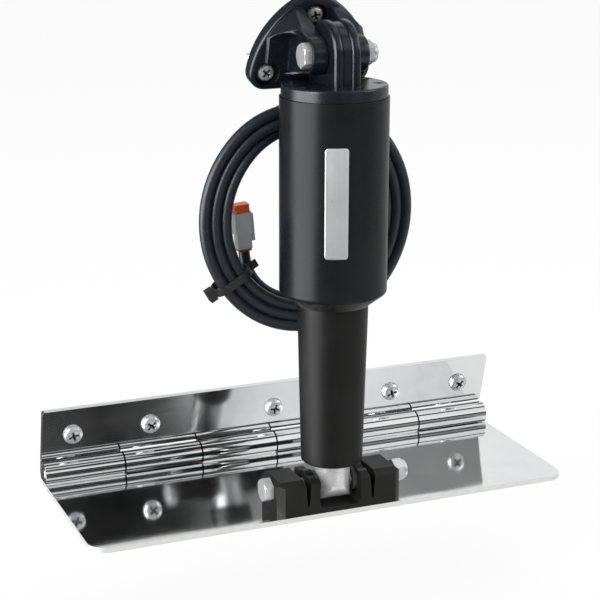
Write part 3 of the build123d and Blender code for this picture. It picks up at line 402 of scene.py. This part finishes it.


def polished_sheet():
    """Mirror polish, with satin cut edges of the sheet and painted shade at the joints of the
    hinge.
    """
    surface = Surface("polished_stainless")
    maths = surface.maths
    smears = surface.noise(22.0, 4.0, 0.62, distortion=0.6)
    lines = surface.noise(1.0, 2.0, 0.5, place=surface.stretch((18, 900, 900)))
    normal, edges = surface.soft_edges(0.0003)
    x, y, z = surface.axes(surface.place)

    # Cut edges: the tab's steep sides, below its top
    steep = maths("ABSOLUTE", surface.axes(surface.sockets["Normal"])[2])
    steep = maths("LESS_THAN", steep, 0.3)
    cut = maths("MULTIPLY", steep, maths("LESS_THAN", z, SHEET_TOP))

    # Joints: a line of painted shade round the barrel, in the gap between two knuckles, and none at
    # its ends
    step = maths("DIVIDE", maths("ADD", x, 3.0 * KNUCKLE * MM), KNUCKLE * MM)
    step = maths("ABSOLUTE", maths("SUBTRACT", maths("FRACT", step), 0.5))
    near = maths("GREATER_THAN", step, 0.5 - JOINT_SHADE_WIDTH / 2 / KNUCKLE)
    behind = maths("GREATER_THAN", y, BARREL_FRONT)
    above = maths("GREATER_THAN", z, SHEET_TOP)
    into = maths("ADD", maths("MULTIPLY", y, cos(RAKE)), maths("MULTIPLY", z, sin(RAKE)))
    proud = maths("LESS_THAN", into, -FLANGE_FACE * MM)
    round_part = maths("MULTIPLY", maths("MULTIPLY", behind, above), proud)
    inside = maths("LESS_THAN", maths("ABSOLUTE", x), 2.9 * KNUCKLE * MM)
    joint = maths("MULTIPLY", near, maths("MULTIPLY", round_part, inside))

    colour = surface.blend(surface.span(smears, 0, 1), (0.80, 0.81, 0.82), (0.90, 0.90, 0.90))
    colour = surface.blend(maths("MULTIPLY", edges, 0.6), colour, (0.94, 0.94, 0.94))
    colour = surface.blend(cut, colour, (0.84, 0.84, 0.83))
    # Painted shade: the gaps between the knuckles are darkened nearly to black
    colour = surface.blend(joint, colour, (0.02, 0.02, 0.02))
    shade = maths("ADD", surface.span(smears, 0.045, 0.085), surface.span(lines, -0.01, 0.015))
    shade = maths("ADD", shade, maths("MULTIPLY", cut, 0.42))
    normal = surface.bump(lines, 0.02, 0.00002, normal)
    waves = surface.noise(11.0, 1.0, 0.4)
    normal = surface.bump(waves, 1.0, 0.0005, normal)
    bare = maths("SUBTRACT", 1.0, maths("MULTIPLY", cut, 0.60))
    return surface.finish(colour, shade, normal, metallic=bare)


looks = {"polished_stainless": polished_sheet()}

# Name, darker and lighter colour, least and most roughness, brushing, relief, others
for name, dark, light, smooth, rough, brushing, relief, other in (
    ("pin_stainless", (0.56, 0.56, 0.57), (0.70, 0.70, 0.71), 0.16, 0.30, (900, 300, 300), 0.2, {}),
    # The screws get painted shade in their cross recesses, reaching 1.6 mm
    ("screw_stainless", (0.70, 0.71, 0.72), (0.84, 0.84, 0.85), 0.22, 0.34, (600, 300, 300), 0.12,
     {"painted_recess_shade": 0.0016, "metallic": 0.6}),
    ("brass", (0.62, 0.44, 0.18), (0.78, 0.60, 0.30), 0.25, 0.4, (400, 400, 900), 0.2, {}),
    ("bronze", (0.50, 0.33, 0.17), (0.66, 0.48, 0.27), 0.3, 0.45, (300, 300, 900), 0.2, {}),
    ("ram_steel", (0.74, 0.74, 0.74), (0.88, 0.88, 0.88), 0.24, 0.34, (260, 260, 5200), 0.30,
     {"metallic": 0.45}),
    ("screw_steel", (0.42, 0.42, 0.43), (0.56, 0.56, 0.57), 0.25, 0.4, (300, 300, 2500), 0.3, {}),
    ("gear_metal", (0.46, 0.46, 0.47), (0.60, 0.60, 0.61), 0.35, 0.5, (600, 600, 600), 0.5, {}),
    ("motor_steel", (0.38, 0.38, 0.39), (0.52, 0.52, 0.53), 0.3, 0.42, (200, 200, 2400), 0.3, {}),
    ("bearing_steel", (0.60, 0.60, 0.61), (0.74, 0.74, 0.75), 0.14, 0.24, (300, 300, 900), 0.1, {}),
    ("label_metal", (0.62, 0.63, 0.64), (0.74, 0.75, 0.76), 0.26, 0.36, (420, 420, 18), 0.0,
     {"edge": 0.00005, "metallic": 0.5}),
    ("black_screws", (0.016, 0.016, 0.018), (0.03, 0.03, 0.032), 0.34, 0.46, (500, 500, 500), 0.3,
     {}),
):
    looks[name] = metal(name, dark, light, smooth, rough, brushing, relief, **other)

# Name, darker and lighter colour, roughness, grain, relief, wear of the edges, others
for name, dark, light, roughness, grain, relief, wear, other in (
    ("bracket_moulding", (0.0075, 0.007, 0.0065), (0.014, 0.013, 0.0125), 0.46, 2400, 0.55, 0.5,
     {"specular": 0.32}),
    ("cap_moulding", (0.006, 0.0085, 0.012), (0.011, 0.014, 0.019), 0.25, 2600, 0.22, 0.12, {}),
    ("tube_moulding", (0.0075, 0.0075, 0.0075), (0.0135, 0.013, 0.0125), 0.42, 2600, 0.30, 0.4,
     {"specular": 0.20}),
    ("housing_moulding", (0.0075, 0.008, 0.009), (0.0125, 0.013, 0.0145), 0.29, 2600, 0.16, 0.4,
     {"specular": 0.20}),
    ("bush_plastic", (0.06, 0.06, 0.06), (0.11, 0.11, 0.11), 0.42, 2000, 0.3, 0.3, {}),
    ("seal_rubber", (0.012, 0.012, 0.012), (0.022, 0.022, 0.022), 0.62, 1500, 0.4, 0.2, {}),
    ("red_rubber", (0.30, 0.055, 0.030), (0.42, 0.080, 0.045), 0.55, 1500, 0.4, 0.2, {}),
    ("gland_nylon", (0.018, 0.018, 0.018), (0.034, 0.034, 0.034), 0.46, 2000, 0.35, 0.4, {}),
    ("plug_orange", (0.70, 0.075, 0.018), (0.86, 0.12, 0.03), 0.36, 1800, 0.25, 0.15, {}),
    ("plug_grey", (0.40, 0.43, 0.44), (0.52, 0.55, 0.56), 0.38, 1800, 0.25, 0.3, {}),
    ("tie_nylon", (0.014, 0.014, 0.015), (0.026, 0.026, 0.027), 0.40, 1500, 0.3, 0.4,
     {"edge": 0.0002}),
):
    looks[name] = moulding(name, dark, light, roughness, grain, relief, wear, **other)


def cable_jacket():
    """Satin jacket: drawn lines along the cable, scuffs and a fine pebbled skin."""
    surface = Surface("cable_jacket")
    lines = surface.noise(1.0, 2.0, 0.5, place=surface.stretch((300, 2200, 300)))
    scuffs = surface.noise(140.0, 5.0, 0.7, distortion=1.2)
    skin = surface.noise(2600.0, 2.0, 0.5)
    colour = surface.blend(surface.span(lines, 0, 1), (0.012, 0.015, 0.019), (0.020, 0.025, 0.031))
    worn = surface.span(scuffs, 0.0, 0.4, start=0.58, end=0.75)
    colour = surface.blend(worn, colour, (0.052, 0.062, 0.070))
    rough = surface.maths("ADD", surface.span(scuffs, 0.34, 0.50), surface.span(skin, -0.02, 0.03))
    normal = surface.bump(lines, 0.10, 0.00010)
    normal = surface.bump(skin, 0.22, 0.00008, normal)
    return surface.finish(colour, rough, normal, specular=0.55)


looks["cable_jacket"] = cable_jacket()

finish_of_node = {
    "hinge_flange": "polished_stainless", "tab_plate": "polished_stainless",
    "hinge_pin": "pin_stainless", "flange_screws": "screw_stainless",
    "bracket_screws": "screw_stainless", "bracket_inserts": "brass",
    "lower_bracket": "bracket_moulding", "lower_pivot_bolt": "screw_stainless",
    "lower_pivot_nut": "screw_stainless", "thrust_washers": "bush_plastic",
    "ram_tube": "ram_steel", "ram_bush": "bush_plastic", "drive_nut": "bronze",
    "lower_tube": "tube_moulding", "wiper_seal": "seal_rubber", "rod_guide": "bush_plastic",
    "screw_bearing": "bearing_steel", "motor_housing": "housing_moulding",
    "gearbox": "gear_metal", "motor": "motor_steel", "top_cap": "cap_moulding",
    "eye_bush": "bush_plastic", "cap_screws": "black_screws", "cap_o_ring": "seal_rubber",
    "cable_gland": "gland_nylon", "strain_relief": "gland_nylon",
    "plug_seal": "red_rubber", "plug_shell": "plug_grey", "plug_wedge": "plug_orange",
    "cable_tie": "tie_nylon", "lead_screw": "screw_steel", "upper_bracket": "cap_moulding",
    "upper_bracket_screws": "screw_stainless", "upper_pivot_bolt": "screw_stainless",
    "upper_pivot_nut": "screw_stainless", "cable_lead": "cable_jacket",
    "cable_coil": "cable_jacket", "cable_tail": "cable_jacket",
}
for name, node in nodes.items():
    node.data.materials.clear()
    node.data.materials.append(looks[finish_of_node[name]])
cable_curve.materials.append(looks["cable_jacket"])


# Pieces made in mesh code

def piece(name, mesh, body, finish, angle=40):
    """Adds a mesh as a named piece that rides on a body."""
    made = placed(name, mesh)
    mesh.materials.clear()
    mesh.materials.append(looks[finish])
    for face in mesh.polygons:
        face.use_smooth = True
    mesh.set_sharp_from_angle(angle=radians(angle))
    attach(made, body)
    return made


def revolved(profile, count=48):
    """Closed mesh turned round z from (radius, height) points, both ends on the axis."""
    shape = bmesh.new()
    rings = []
    for radius, height in profile:
        if radius < 1e-6:
            rings.append([shape.verts.new((0, 0, height))])
            continue
        turns = [2 * pi * i / count for i in range(count)]
        rings.append([
            shape.verts.new((radius * cos(turn), radius * sin(turn), height)) for turn in turns
        ])
    for low, high in zip(rings, rings[1:]):
        for i in range(count):
            j = (i + 1) % count
            corners = (low[i % len(low)], low[j % len(low)],
                       high[j % len(high)], high[i % len(high)])
            corners = list(dict.fromkeys(corners))
            if len(corners) > 2:
                shape.faces.new(corners)
    bmesh.ops.recalc_face_normals(shape, faces=shape.faces)
    return finished(shape, "turned")


def wedge(half_width, half_length, top, bottom, taper):
    """Tapered bar that cuts one arm of a cross recess."""
    shape = bmesh.new()
    verts = []
    for height, share in ((top, 1.0), (bottom, taper)):
        for sx, sy in ((-1, -1), (1, -1), (1, 1), (-1, 1)):
            corner = (sx * half_length * share, sy * half_width * share, height)
            verts.append(shape.verts.new(corner))
    for face in (
        (3, 2, 1, 0), (4, 5, 6, 7), (0, 1, 5, 4), (1, 2, 6, 5), (2, 3, 7, 6), (3, 0, 4, 7),
    ):
        shape.faces.new([verts[i] for i in face])
    bmesh.ops.recalc_face_normals(shape, faces=shape.faces)
    return finished(shape, "wedge")


def carved(mesh, cutters):
    """Mesh with the cutters taken out of it."""
    block = placed("block", mesh)
    tools = [placed("tool", cutter) for cutter in cutters]
    for tool in tools:
        cut = block.modifiers.new("cut", "BOOLEAN")
        cut.operation = "DIFFERENCE"
        cut.solver = "EXACT"
        cut.object = tool
    bpy.context.view_layer.update()
    scene_now = bpy.context.evaluated_depsgraph_get()
    result = bpy.data.meshes.new_from_object(block.evaluated_get(scene_now))
    for made in [block] + tools:
        bpy.data.objects.remove(made)
    return result


def threaded(core, crest, pitch, top, bottom, point, ridge_width=0.32, blunt=0.06, count=20):
    """Shank with a rolled thread, whose last stretch tapers to a blunt point."""
    shape = bmesh.new()
    rows_a_turn = 8
    rows = int((top - bottom) / pitch * rows_a_turn)
    rings = []
    for row in range(rows + 1):
        height = top - (top - bottom) * row / rows
        ring = []
        for i in range(count):
            phase = (height / pitch - i / count) % 1.0
            ridge = max(0.0, 1.0 - abs(phase - 0.5) / ridge_width)
            fade = min(1.0, max(0.0, (top - height) / pitch - 0.5))
            radius = core + (crest - core) * ridge * fade
            radius *= min(1.0, blunt + (1.0 - blunt) * (height - bottom) / point)
            turn = 2 * pi * i / count
            ring.append(shape.verts.new((radius * cos(turn), radius * sin(turn), height)))
        rings.append(ring)
    for high, low in zip(rings, rings[1:]):
        for i in range(count):
            j = (i + 1) % count
            shape.faces.new((high[i], low[i], low[j], high[j]))
    shape.faces.new(rings[0])
    shape.faces.new(list(reversed(rings[-1])))
    bmesh.ops.recalc_face_normals(shape, faces=shape.faces)
    return finished(shape, "thread")


def cross_screws(name, head, rise, crest, length, places, body, node):
    """Pan-head screws with a tapered cross recess and a rolled thread, one piece."""
    dome = [
        (0, rise), (head * 0.35, rise * 0.985), (head * 0.62, rise * 0.93),
        (head * 0.82, rise * 0.80), (head * 0.94, rise * 0.60), (head * 0.995, rise * 0.34),
        (head, rise * 0.14), (head * 0.98, 0.02 * MM), (head * 0.95, 0), (0, 0),
    ]
    arms = []
    for turn in (0, 90):
        arm = wedge(
            half_width=head * 0.15, half_length=head * 0.60,
            top=rise * 1.05, bottom=rise * 0.06, taper=0.50,
        )
        arm.transform(Matrix.Rotation(radians(turn), 4, "Z"))
        arms.append(arm)
    socket = revolved([
        (0, rise * 1.05), (head * 0.28, rise * 1.05), (head * 0.14, rise * 0.05), (0, rise * 0.04),
    ], 24)
    top = carved(revolved(dome, 56), arms + [socket])
    shank = threaded(crest * 0.80, crest, crest * 0.72, 0.0, -length, crest * 2.6)
    joined = bmesh.new()
    for turn, place in enumerate(places):
        matrix = place @ Matrix.Rotation(radians(17 + 31 * turn), 4, "Z")
        for part in (top, shank):
            copy = part.copy()
            copy.transform(matrix)
            joined.from_mesh(copy)
            bpy.data.meshes.remove(copy)
    mesh = finished(joined, name)
    made = piece(name, mesh, body, "screw_stainless", 35)
    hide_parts(node)


FLANGE_SCREW_RISE = -10.2
BASE_SEAT = 4.4  # how far out of the transom the base's screws sit
flange_places = [
    turned(TRANSOM_OUT, X_AXIS, on_transom(x, FLANGE_SCREW_RISE, SHEET))
    for x in (-133, -83, 0, 83, 133)
]
cross_screws(
    "flange_screw_set", head=6.0 * MM, rise=3.6 * MM, crest=3.1 * MM, length=30.0 * MM,
    places=flange_places, body="hinge_flange", node="flange_screws",
)
base_places = [
    turned(TRANSOM_OUT, X_AXIS, on_transom(x, UPPER_PIVOT.dot(TRANSOM_UP) + rise, BASE_SEAT))
    for x, rise in ((0, 11.5), (-27, -22), (27, -22))
]
cross_screws(
    "bracket_base_screw_set", head=5.0 * MM, rise=3.0 * MM, crest=2.6 * MM, length=30.0 * MM,
    places=base_places, body="upper_bracket", node="upper_bracket_screws",
)


LABEL_ANGLE = radians(20.5)  # round the housing, from its front to the left
LABEL_HEIGHT = 175.4
LABEL_THICKNESS = 0.4
LABEL_GAP = 0.02
LABEL_RIM = 0.16  # how far the pressed rim stands out
RIM_START = 0.25  # how far in from the plate's edge the rim runs
RIM_END = 1.1


def rounded(u, v, half_width, half_height, corner):
    """Point of a plate drawn in to its round corners, and its distance from the edge."""
    inside_u, inside_v = half_width - corner, half_height - corner
    over_u, over_v = max(0, abs(u) - inside_u), max(0, abs(v) - inside_v)
    reach = sqrt(over_u ** 2 + over_v ** 2)
    if over_u > 0 and over_v > 0 and reach > corner:
        u = (inside_u + over_u * corner / reach) * (1 if u > 0 else -1)
        v = (inside_v + over_v * corner / reach) * (1 if v > 0 else -1)
        reach = corner
    edge = corner - reach if reach > 0 else min(half_width - abs(u), half_height - abs(v))
    return u, v, edge


def label_plate(half_width=6.6, half_height=31.4, corner=1.8, across=20, along=64):
    """Bare metal plate bent round the housing, with a pressed rim."""
    shape = bmesh.new()
    grid = []
    for row in range(along + 1):
        line = []
        for column in range(across + 1):
            u = half_width * (2 * column / across - 1)
            v = half_height * (2 * row / along - 1)
            u, v, edge = rounded(u, v, half_width, half_height, corner)
            rim = LABEL_RIM if RIM_START < edge < RIM_END else 0.0
            radius = HOUSING_RADIUS + LABEL_GAP + LABEL_THICKNESS + rim
            turn = LABEL_ANGLE - u / HOUSING_RADIUS
            place = on_actuator(-radius * sin(turn), -radius * cos(turn), LABEL_HEIGHT + v)
            line.append(shape.verts.new(place))
        grid.append(line)
    for low, high in zip(grid, grid[1:]):
        for i in range(across):
            shape.faces.new((low[i], low[i + 1], high[i + 1], high[i]))
    bmesh.ops.recalc_face_normals(shape, faces=shape.faces)
    outward = X_AXIS * -sin(LABEL_ANGLE) - ACTUATOR_IN * cos(LABEL_ANGLE)
    shape.faces.ensure_lookup_table()
    if shape.faces[len(shape.faces) // 2].normal.dot(outward) < 0:
        bmesh.ops.reverse_faces(shape, faces=shape.faces)
    mesh = finished(shape, "label_plate")
    made = piece("label_plate", mesh, "actuator", "label_metal", 50)
    thick = made.modifiers.new("thick", "SOLIDIFY")
    thick.thickness = LABEL_THICKNESS * MM
    thick.offset = -1


label_plate()


RELIEF_TOP = on_actuator(0, 38.9, 179.4)


def ribbed_relief(radius=5.2, tip=4.0, length=20.0, ribs=7, pitch=2.55, groove=0.75):
    """Tapered strain relief with ring ribs, under the gland."""
    profile = [(0, 0), (radius, 0)]
    for rib in range(ribs):
        start = 1.2 + rib * pitch
        for shift, cut in ((0.0, 0.0), (0.25, groove), (1.05, groove), (1.3, 0.0)):
            share = (start + shift) / length
            profile.append((radius - 1.0 * share - cut, -(start + shift)))
    profile += [(tip + 0.2, 0.4 - length), (tip, -length), (0, -length)]
    mesh = revolved([(r * MM, h * MM) for r, h in profile], 40)
    mesh.transform(turned(ACTUATOR_UP, X_AXIS, RELIEF_TOP))
    made = piece("ribbed_relief", mesh, "actuator", "gland_nylon", 30)
    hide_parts("strain_relief")


ribbed_relief()


def reshaped(name, node, change, body, finish, angle=30):
    """Piece that stands for a node: a copy of its mesh with every point moved."""
    mesh = nodes[node].data.copy()
    for vertex in mesh.vertices:
        vertex.co = change(vertex.co.copy())
    made = piece(name, mesh, body, finish, angle)
    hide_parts(node)
    return made


# The tube's end goes up by its lift, and the rest by less and less, up to the top
TUBE_LIFT = 3.8
TUBE_END = 16.0
TUBE_TOP = 100.0


def lifted_end(place):
    """The tube's lower end sits a little higher up the ram."""
    height = (place / MM - LOWER_PIVOT).dot(ACTUATOR_UP)
    share = min(1.0, max(0.0, (TUBE_TOP - height) / (TUBE_TOP - TUBE_END)))
    return place + ACTUATOR_UP * TUBE_LIFT * share * MM


tube = reshaped(
    "tube_end_raised", "lower_tube", lifted_end, "actuator", "tube_moulding",
)
tube.visible_glossy = False  # the flange's polish shows no tube
reshaped("wiper_ring", "wiper_seal", lifted_end, "actuator", "seal_rubber")

# Places on an ear's boss: along the pin from the bracket's middle, and round the pin
EAR_START = 8.0
EAR_END = 16.2
BORE_RIM = 9.0
BOSS_RIM = 14.5
LENGTH_KEPT = 0.15
WIDTH_KEPT = 0.45


def shorter_ear(place):
    """The bracket's ear is slimmer and ends sooner, so the bolt stands out of it."""
    from_pin = place / MM - UPPER_PIVOT
    side = abs(from_pin.x)
    radius = sqrt(from_pin.y ** 2 + from_pin.z ** 2)
    if radius < BOSS_RIM and side > EAR_END:
        from_pin.x *= (EAR_END + (side - EAR_END) * LENGTH_KEPT) / side
    if side > EAR_START and BORE_RIM < radius < BOSS_RIM:
        squeeze = (BORE_RIM + (radius - BORE_RIM) * WIDTH_KEPT) / radius
        from_pin.y *= squeeze
        from_pin.z *= squeeze
    return (from_pin + UPPER_PIVOT) * MM


reshaped(
    "pick_bracket", "upper_bracket", shorter_ear, "upper_bracket", "cap_moulding",
)

PLUG_TILT = radians(5.0)
PLUG_UP = ACTUATOR_UP * cos(PLUG_TILT) - X_AXIS * sin(PLUG_TILT)
PLUG_OLD = turned(PLUG_UP, X_AXIS, on_actuator(-34.6, 38.9, 133.5))
PLUG_NEW = turned(PLUG_UP, X_AXIS, on_actuator(*tail[-1]))
PLUG_SIZE = Matrix.Diagonal((0.86, 0.60, 0.875, 1.0))
PLUG_MOVE = PLUG_NEW @ PLUG_SIZE @ PLUG_OLD.inverted()


def moved_plug(place):
    """The plug is smaller and sits further back, on the cable's end."""
    return PLUG_MOVE @ place


plug_pieces = [
    reshaped("connector_" + name, "plug_" + name, moved_plug, "actuator", finish)
    for name, finish, slot in (
        ("seal", "red_rubber", "plug_orange"),
        ("shell", "plug_grey", "plug_grey"),
        ("wedge", "plug_orange", "plug_orange"),
    )
]

# The tie goes from its inner to its outer end along a line out of the coil's middle
COIL_MIDDLE = on_actuator(COIL_X, 0, COIL_HEIGHT) / MM
TIE_ANGLE = radians(-137.3)
TIE_TURN = radians(-5.7)
TIE_INNER = 46.0
TIE_OUTER = 68.0
TIE_ROOM = 2.4


def wider_tie(place):
    """The tie reaches round the outer turn and sits a little further up the coil."""
    from_coil = place / MM - COIL_MIDDLE
    x, depth, height = from_coil.x, from_coil.dot(ACTUATOR_IN), from_coil.dot(ACTUATOR_UP)
    reach = x * cos(TIE_ANGLE) + height * sin(TIE_ANGLE)
    share = (reach - TIE_INNER) / (TIE_OUTER - TIE_INNER)
    growth = TIE_ROOM * min(1.0, max(0.0, share))
    x += growth * cos(TIE_ANGLE)
    height += growth * sin(TIE_ANGLE)
    return on_actuator(
        COIL_X + x * cos(TIE_TURN) - height * sin(TIE_TURN),
        depth,
        COIL_HEIGHT + x * sin(TIE_TURN) + height * cos(TIE_TURN),
    )


tie = reshaped("bundle_tie", "cable_tie", wider_tie, "actuator", "tie_nylon")


def nut_insert(node, body):
    """Nylon ring that shows inside the collar of a lock nut."""
    low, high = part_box(node)
    centre = (low + high) / 2
    profile = (
        (0, 0), (4.05, 0), (4.9, 0), (5.0, 0.25), (4.9, 0.42), (4.25, 0.42), (4.1, 0.2), (0, 0.2),
    )
    ring = revolved([(radius * MM, height * MM) for radius, height in profile], 40)
    place = Vector((high.x - 0.1 * MM, centre.y, centre.z))
    ring.transform(turned(X_AXIS, Vector((0, 0, 1)), place))
    piece(node + "_ring", ring, body, "bush_plastic", 40)


nut_insert("lower_pivot_nut", "tab")
nut_insert("upper_pivot_nut", "upper_bracket")


# Floor, world and lamps
FLOOR_DROP = 78.0
FLOOR_SIZE = 4.0
FLOOR_WHITE = 0.90
EVEN_LIGHT = 0.62
STRIP_LIGHT = 6.0
WHITE = (1, 1, 1)


def stage_floor():
    """Plain pale floor, below the lowest place that the tab's edge swings to."""
    shape = bmesh.new()
    low = cad_box[0].z - FLOOR_DROP * MM
    bmesh.ops.create_grid(shape, x_segments=2, y_segments=2, size=FLOOR_SIZE)
    bmesh.ops.translate(shape, verts=shape.verts, vec=(0, 0, low))
    floor = placed("floor", finished(shape, "floor"))
    material = bpy.data.materials.new("pale_floor")
    material.use_nodes = True
    material.node_tree.nodes.clear()
    look = ShaderTree(material.node_tree)
    seen = look.add("ShaderNodeLightPath").outputs["Is Camera Ray"]
    share = look.maths("MULTIPLY", seen, FLOOR_WHITE)
    matt = look.coloured("ShaderNodeBsdfDiffuse", (0.86, 0.86, 0.86))
    glow = look.coloured("ShaderNodeEmission", WHITE)
    out = look.add("ShaderNodeOutputMaterial")
    look.join(look.either(share, matt, glow), out.inputs["Surface"])
    floor.data.materials.append(material)
    floor.visible_glossy = False


stage_floor()


def at(degrees_up):
    """Place on a ramp of an angle of rise."""
    return degrees_up / 360 + 0.5


def studio_panels(sky):
    """Colour of the pale and dark panels, and of the bright strip at the far left."""
    seen = sky.add("ShaderNodeTexCoord").outputs["Generated"]
    x, y, z = sky.add("ShaderNodeSeparateXYZ", {"Vector": seen}).outputs

    # Angle of rise across the hinge: 0.5 is level, out of the transom, and 0.75 straight up
    rise = sky.maths("ARCTAN2", z, sky.maths("MULTIPLY", y, -1.0))
    rise = sky.maths("ADD", sky.maths("DIVIDE", rise, 2 * pi), 0.5)
    bands = sky.ramp(rise, [
        (at(-150), 0.75), (at(-100), 0.85), (at(-84), 0.85), (at(-76), 0.04), (at(-68), 0.04),
        (at(-62), 0.85), (at(-36), 0.90), (at(-24), 0.85), (at(-17), 0.30), (at(6), 0.28),
        (at(12), 0.04), (at(19), 0.03), (at(23), 1.00), (at(33), 1.00), (at(37), 0.90),
        (at(62), 0.95), (at(68), 0.05), (at(76), 0.04), (at(82), 1.0), (at(104), 0.95),
        (at(110), 0.12), (at(118), 0.15), (at(128), 0.90), (at(160), 0.95),
    ])

    # Side: 0 is straight left along the hinge, and 1 straight right
    side = sky.maths("ADD", sky.maths("MULTIPLY", x, 0.5), 0.5)
    panels = sky.ramp(side, [
        (0.0, 1.0), (0.05, 1.0), (0.10, 0.22), (0.45, 0.20), (0.57, 0.20), (0.60, 0.10),
        (0.622, 0.015), (0.640, 0.03), (0.656, 0.60), (0.670, 0.99), (0.70, 1.0), (0.725, 0.88),
        (0.78, 0.70), (0.86, 0.18), (1.0, 0.12),
    ])

    # The panels count where the flat sheets look, and are evened out where the barrel does
    free = sky.ramp(rise, [
        (at(-17), 0.85), (at(-11), 0.0), (at(4), 0.0), (at(9), 0.85), (at(37), 0.85),
        (at(42), 0.0), (at(54), 0.0), (at(60), 0.85),
    ])
    even = sky.ramp(side, [(0.5, 0.14), (0.58, 0.95)])
    panels = sky.blend(free, panels, even)
    strip = sky.ramp(side, [(0.0, 1.0), (0.045, 1.0), (0.09, 0.0)])
    return sky.blend(1.0, bands, panels, kind="MULTIPLY"), strip


def studio():
    """Soft even light, a studio that gloss reflects, and a white background."""
    world = bpy.data.worlds.new("studio")
    bpy.context.scene.world = world
    world.use_nodes = True
    world.node_tree.nodes.clear()
    sky = ShaderTree(world.node_tree)
    panels, strip = studio_panels(sky)
    gloss = sky.add("ShaderNodeAddShader")
    sky.join(sky.coloured("ShaderNodeBackground", panels, 1.0), gloss.inputs[0])
    sky.join(sky.coloured("ShaderNodeBackground", strip, STRIP_LIGHT), gloss.inputs[1])
    even = sky.coloured("ShaderNodeBackground", WHITE, EVEN_LIGHT)
    white = sky.coloured("ShaderNodeBackground", WHITE, 1.0)
    ray = sky.add("ShaderNodeLightPath").outputs
    lit = sky.either(ray["Is Glossy Ray"], even, gloss.outputs[0])
    out = sky.add("ShaderNodeOutputWorld")
    sky.join(sky.either(ray["Is Camera Ray"], lit, white), out.inputs["Surface"])


studio()


def lamp(name, place, aim, width, height, power):
    """Soft rectangular lamp that points at a place."""
    data = bpy.data.lights.new(name, "AREA")
    data.shape = "RECTANGLE"
    data.size = width
    data.size_y = height
    data.energy = power
    made = placed(name, data)
    made.location = place
    made.rotation_euler = (Vector(aim) - Vector(place)).to_track_quat("-Z", "Y").to_euler()
    return made


lamp("key", place=(-1.75, -0.85, 0.95), aim=(0, -0.08, 0.10), width=0.55, height=1.5, power=26)
lamp("fill", place=(2.0, -0.9, 1.3), aim=(0, -0.05, 0.05), width=1.2, height=1.2, power=14)
overhead = lamp(
    "top", place=(0.1, 0.1, 1.9), aim=(0, -0.05, 0.0), width=1.6, height=1.6, power=16,
)
overhead.visible_glossy = False  # the tab's polish shows the studio above, and no lamp

bpy.context.scene.view_settings.view_transform = "Standard"

bpy.context.view_layer.update()
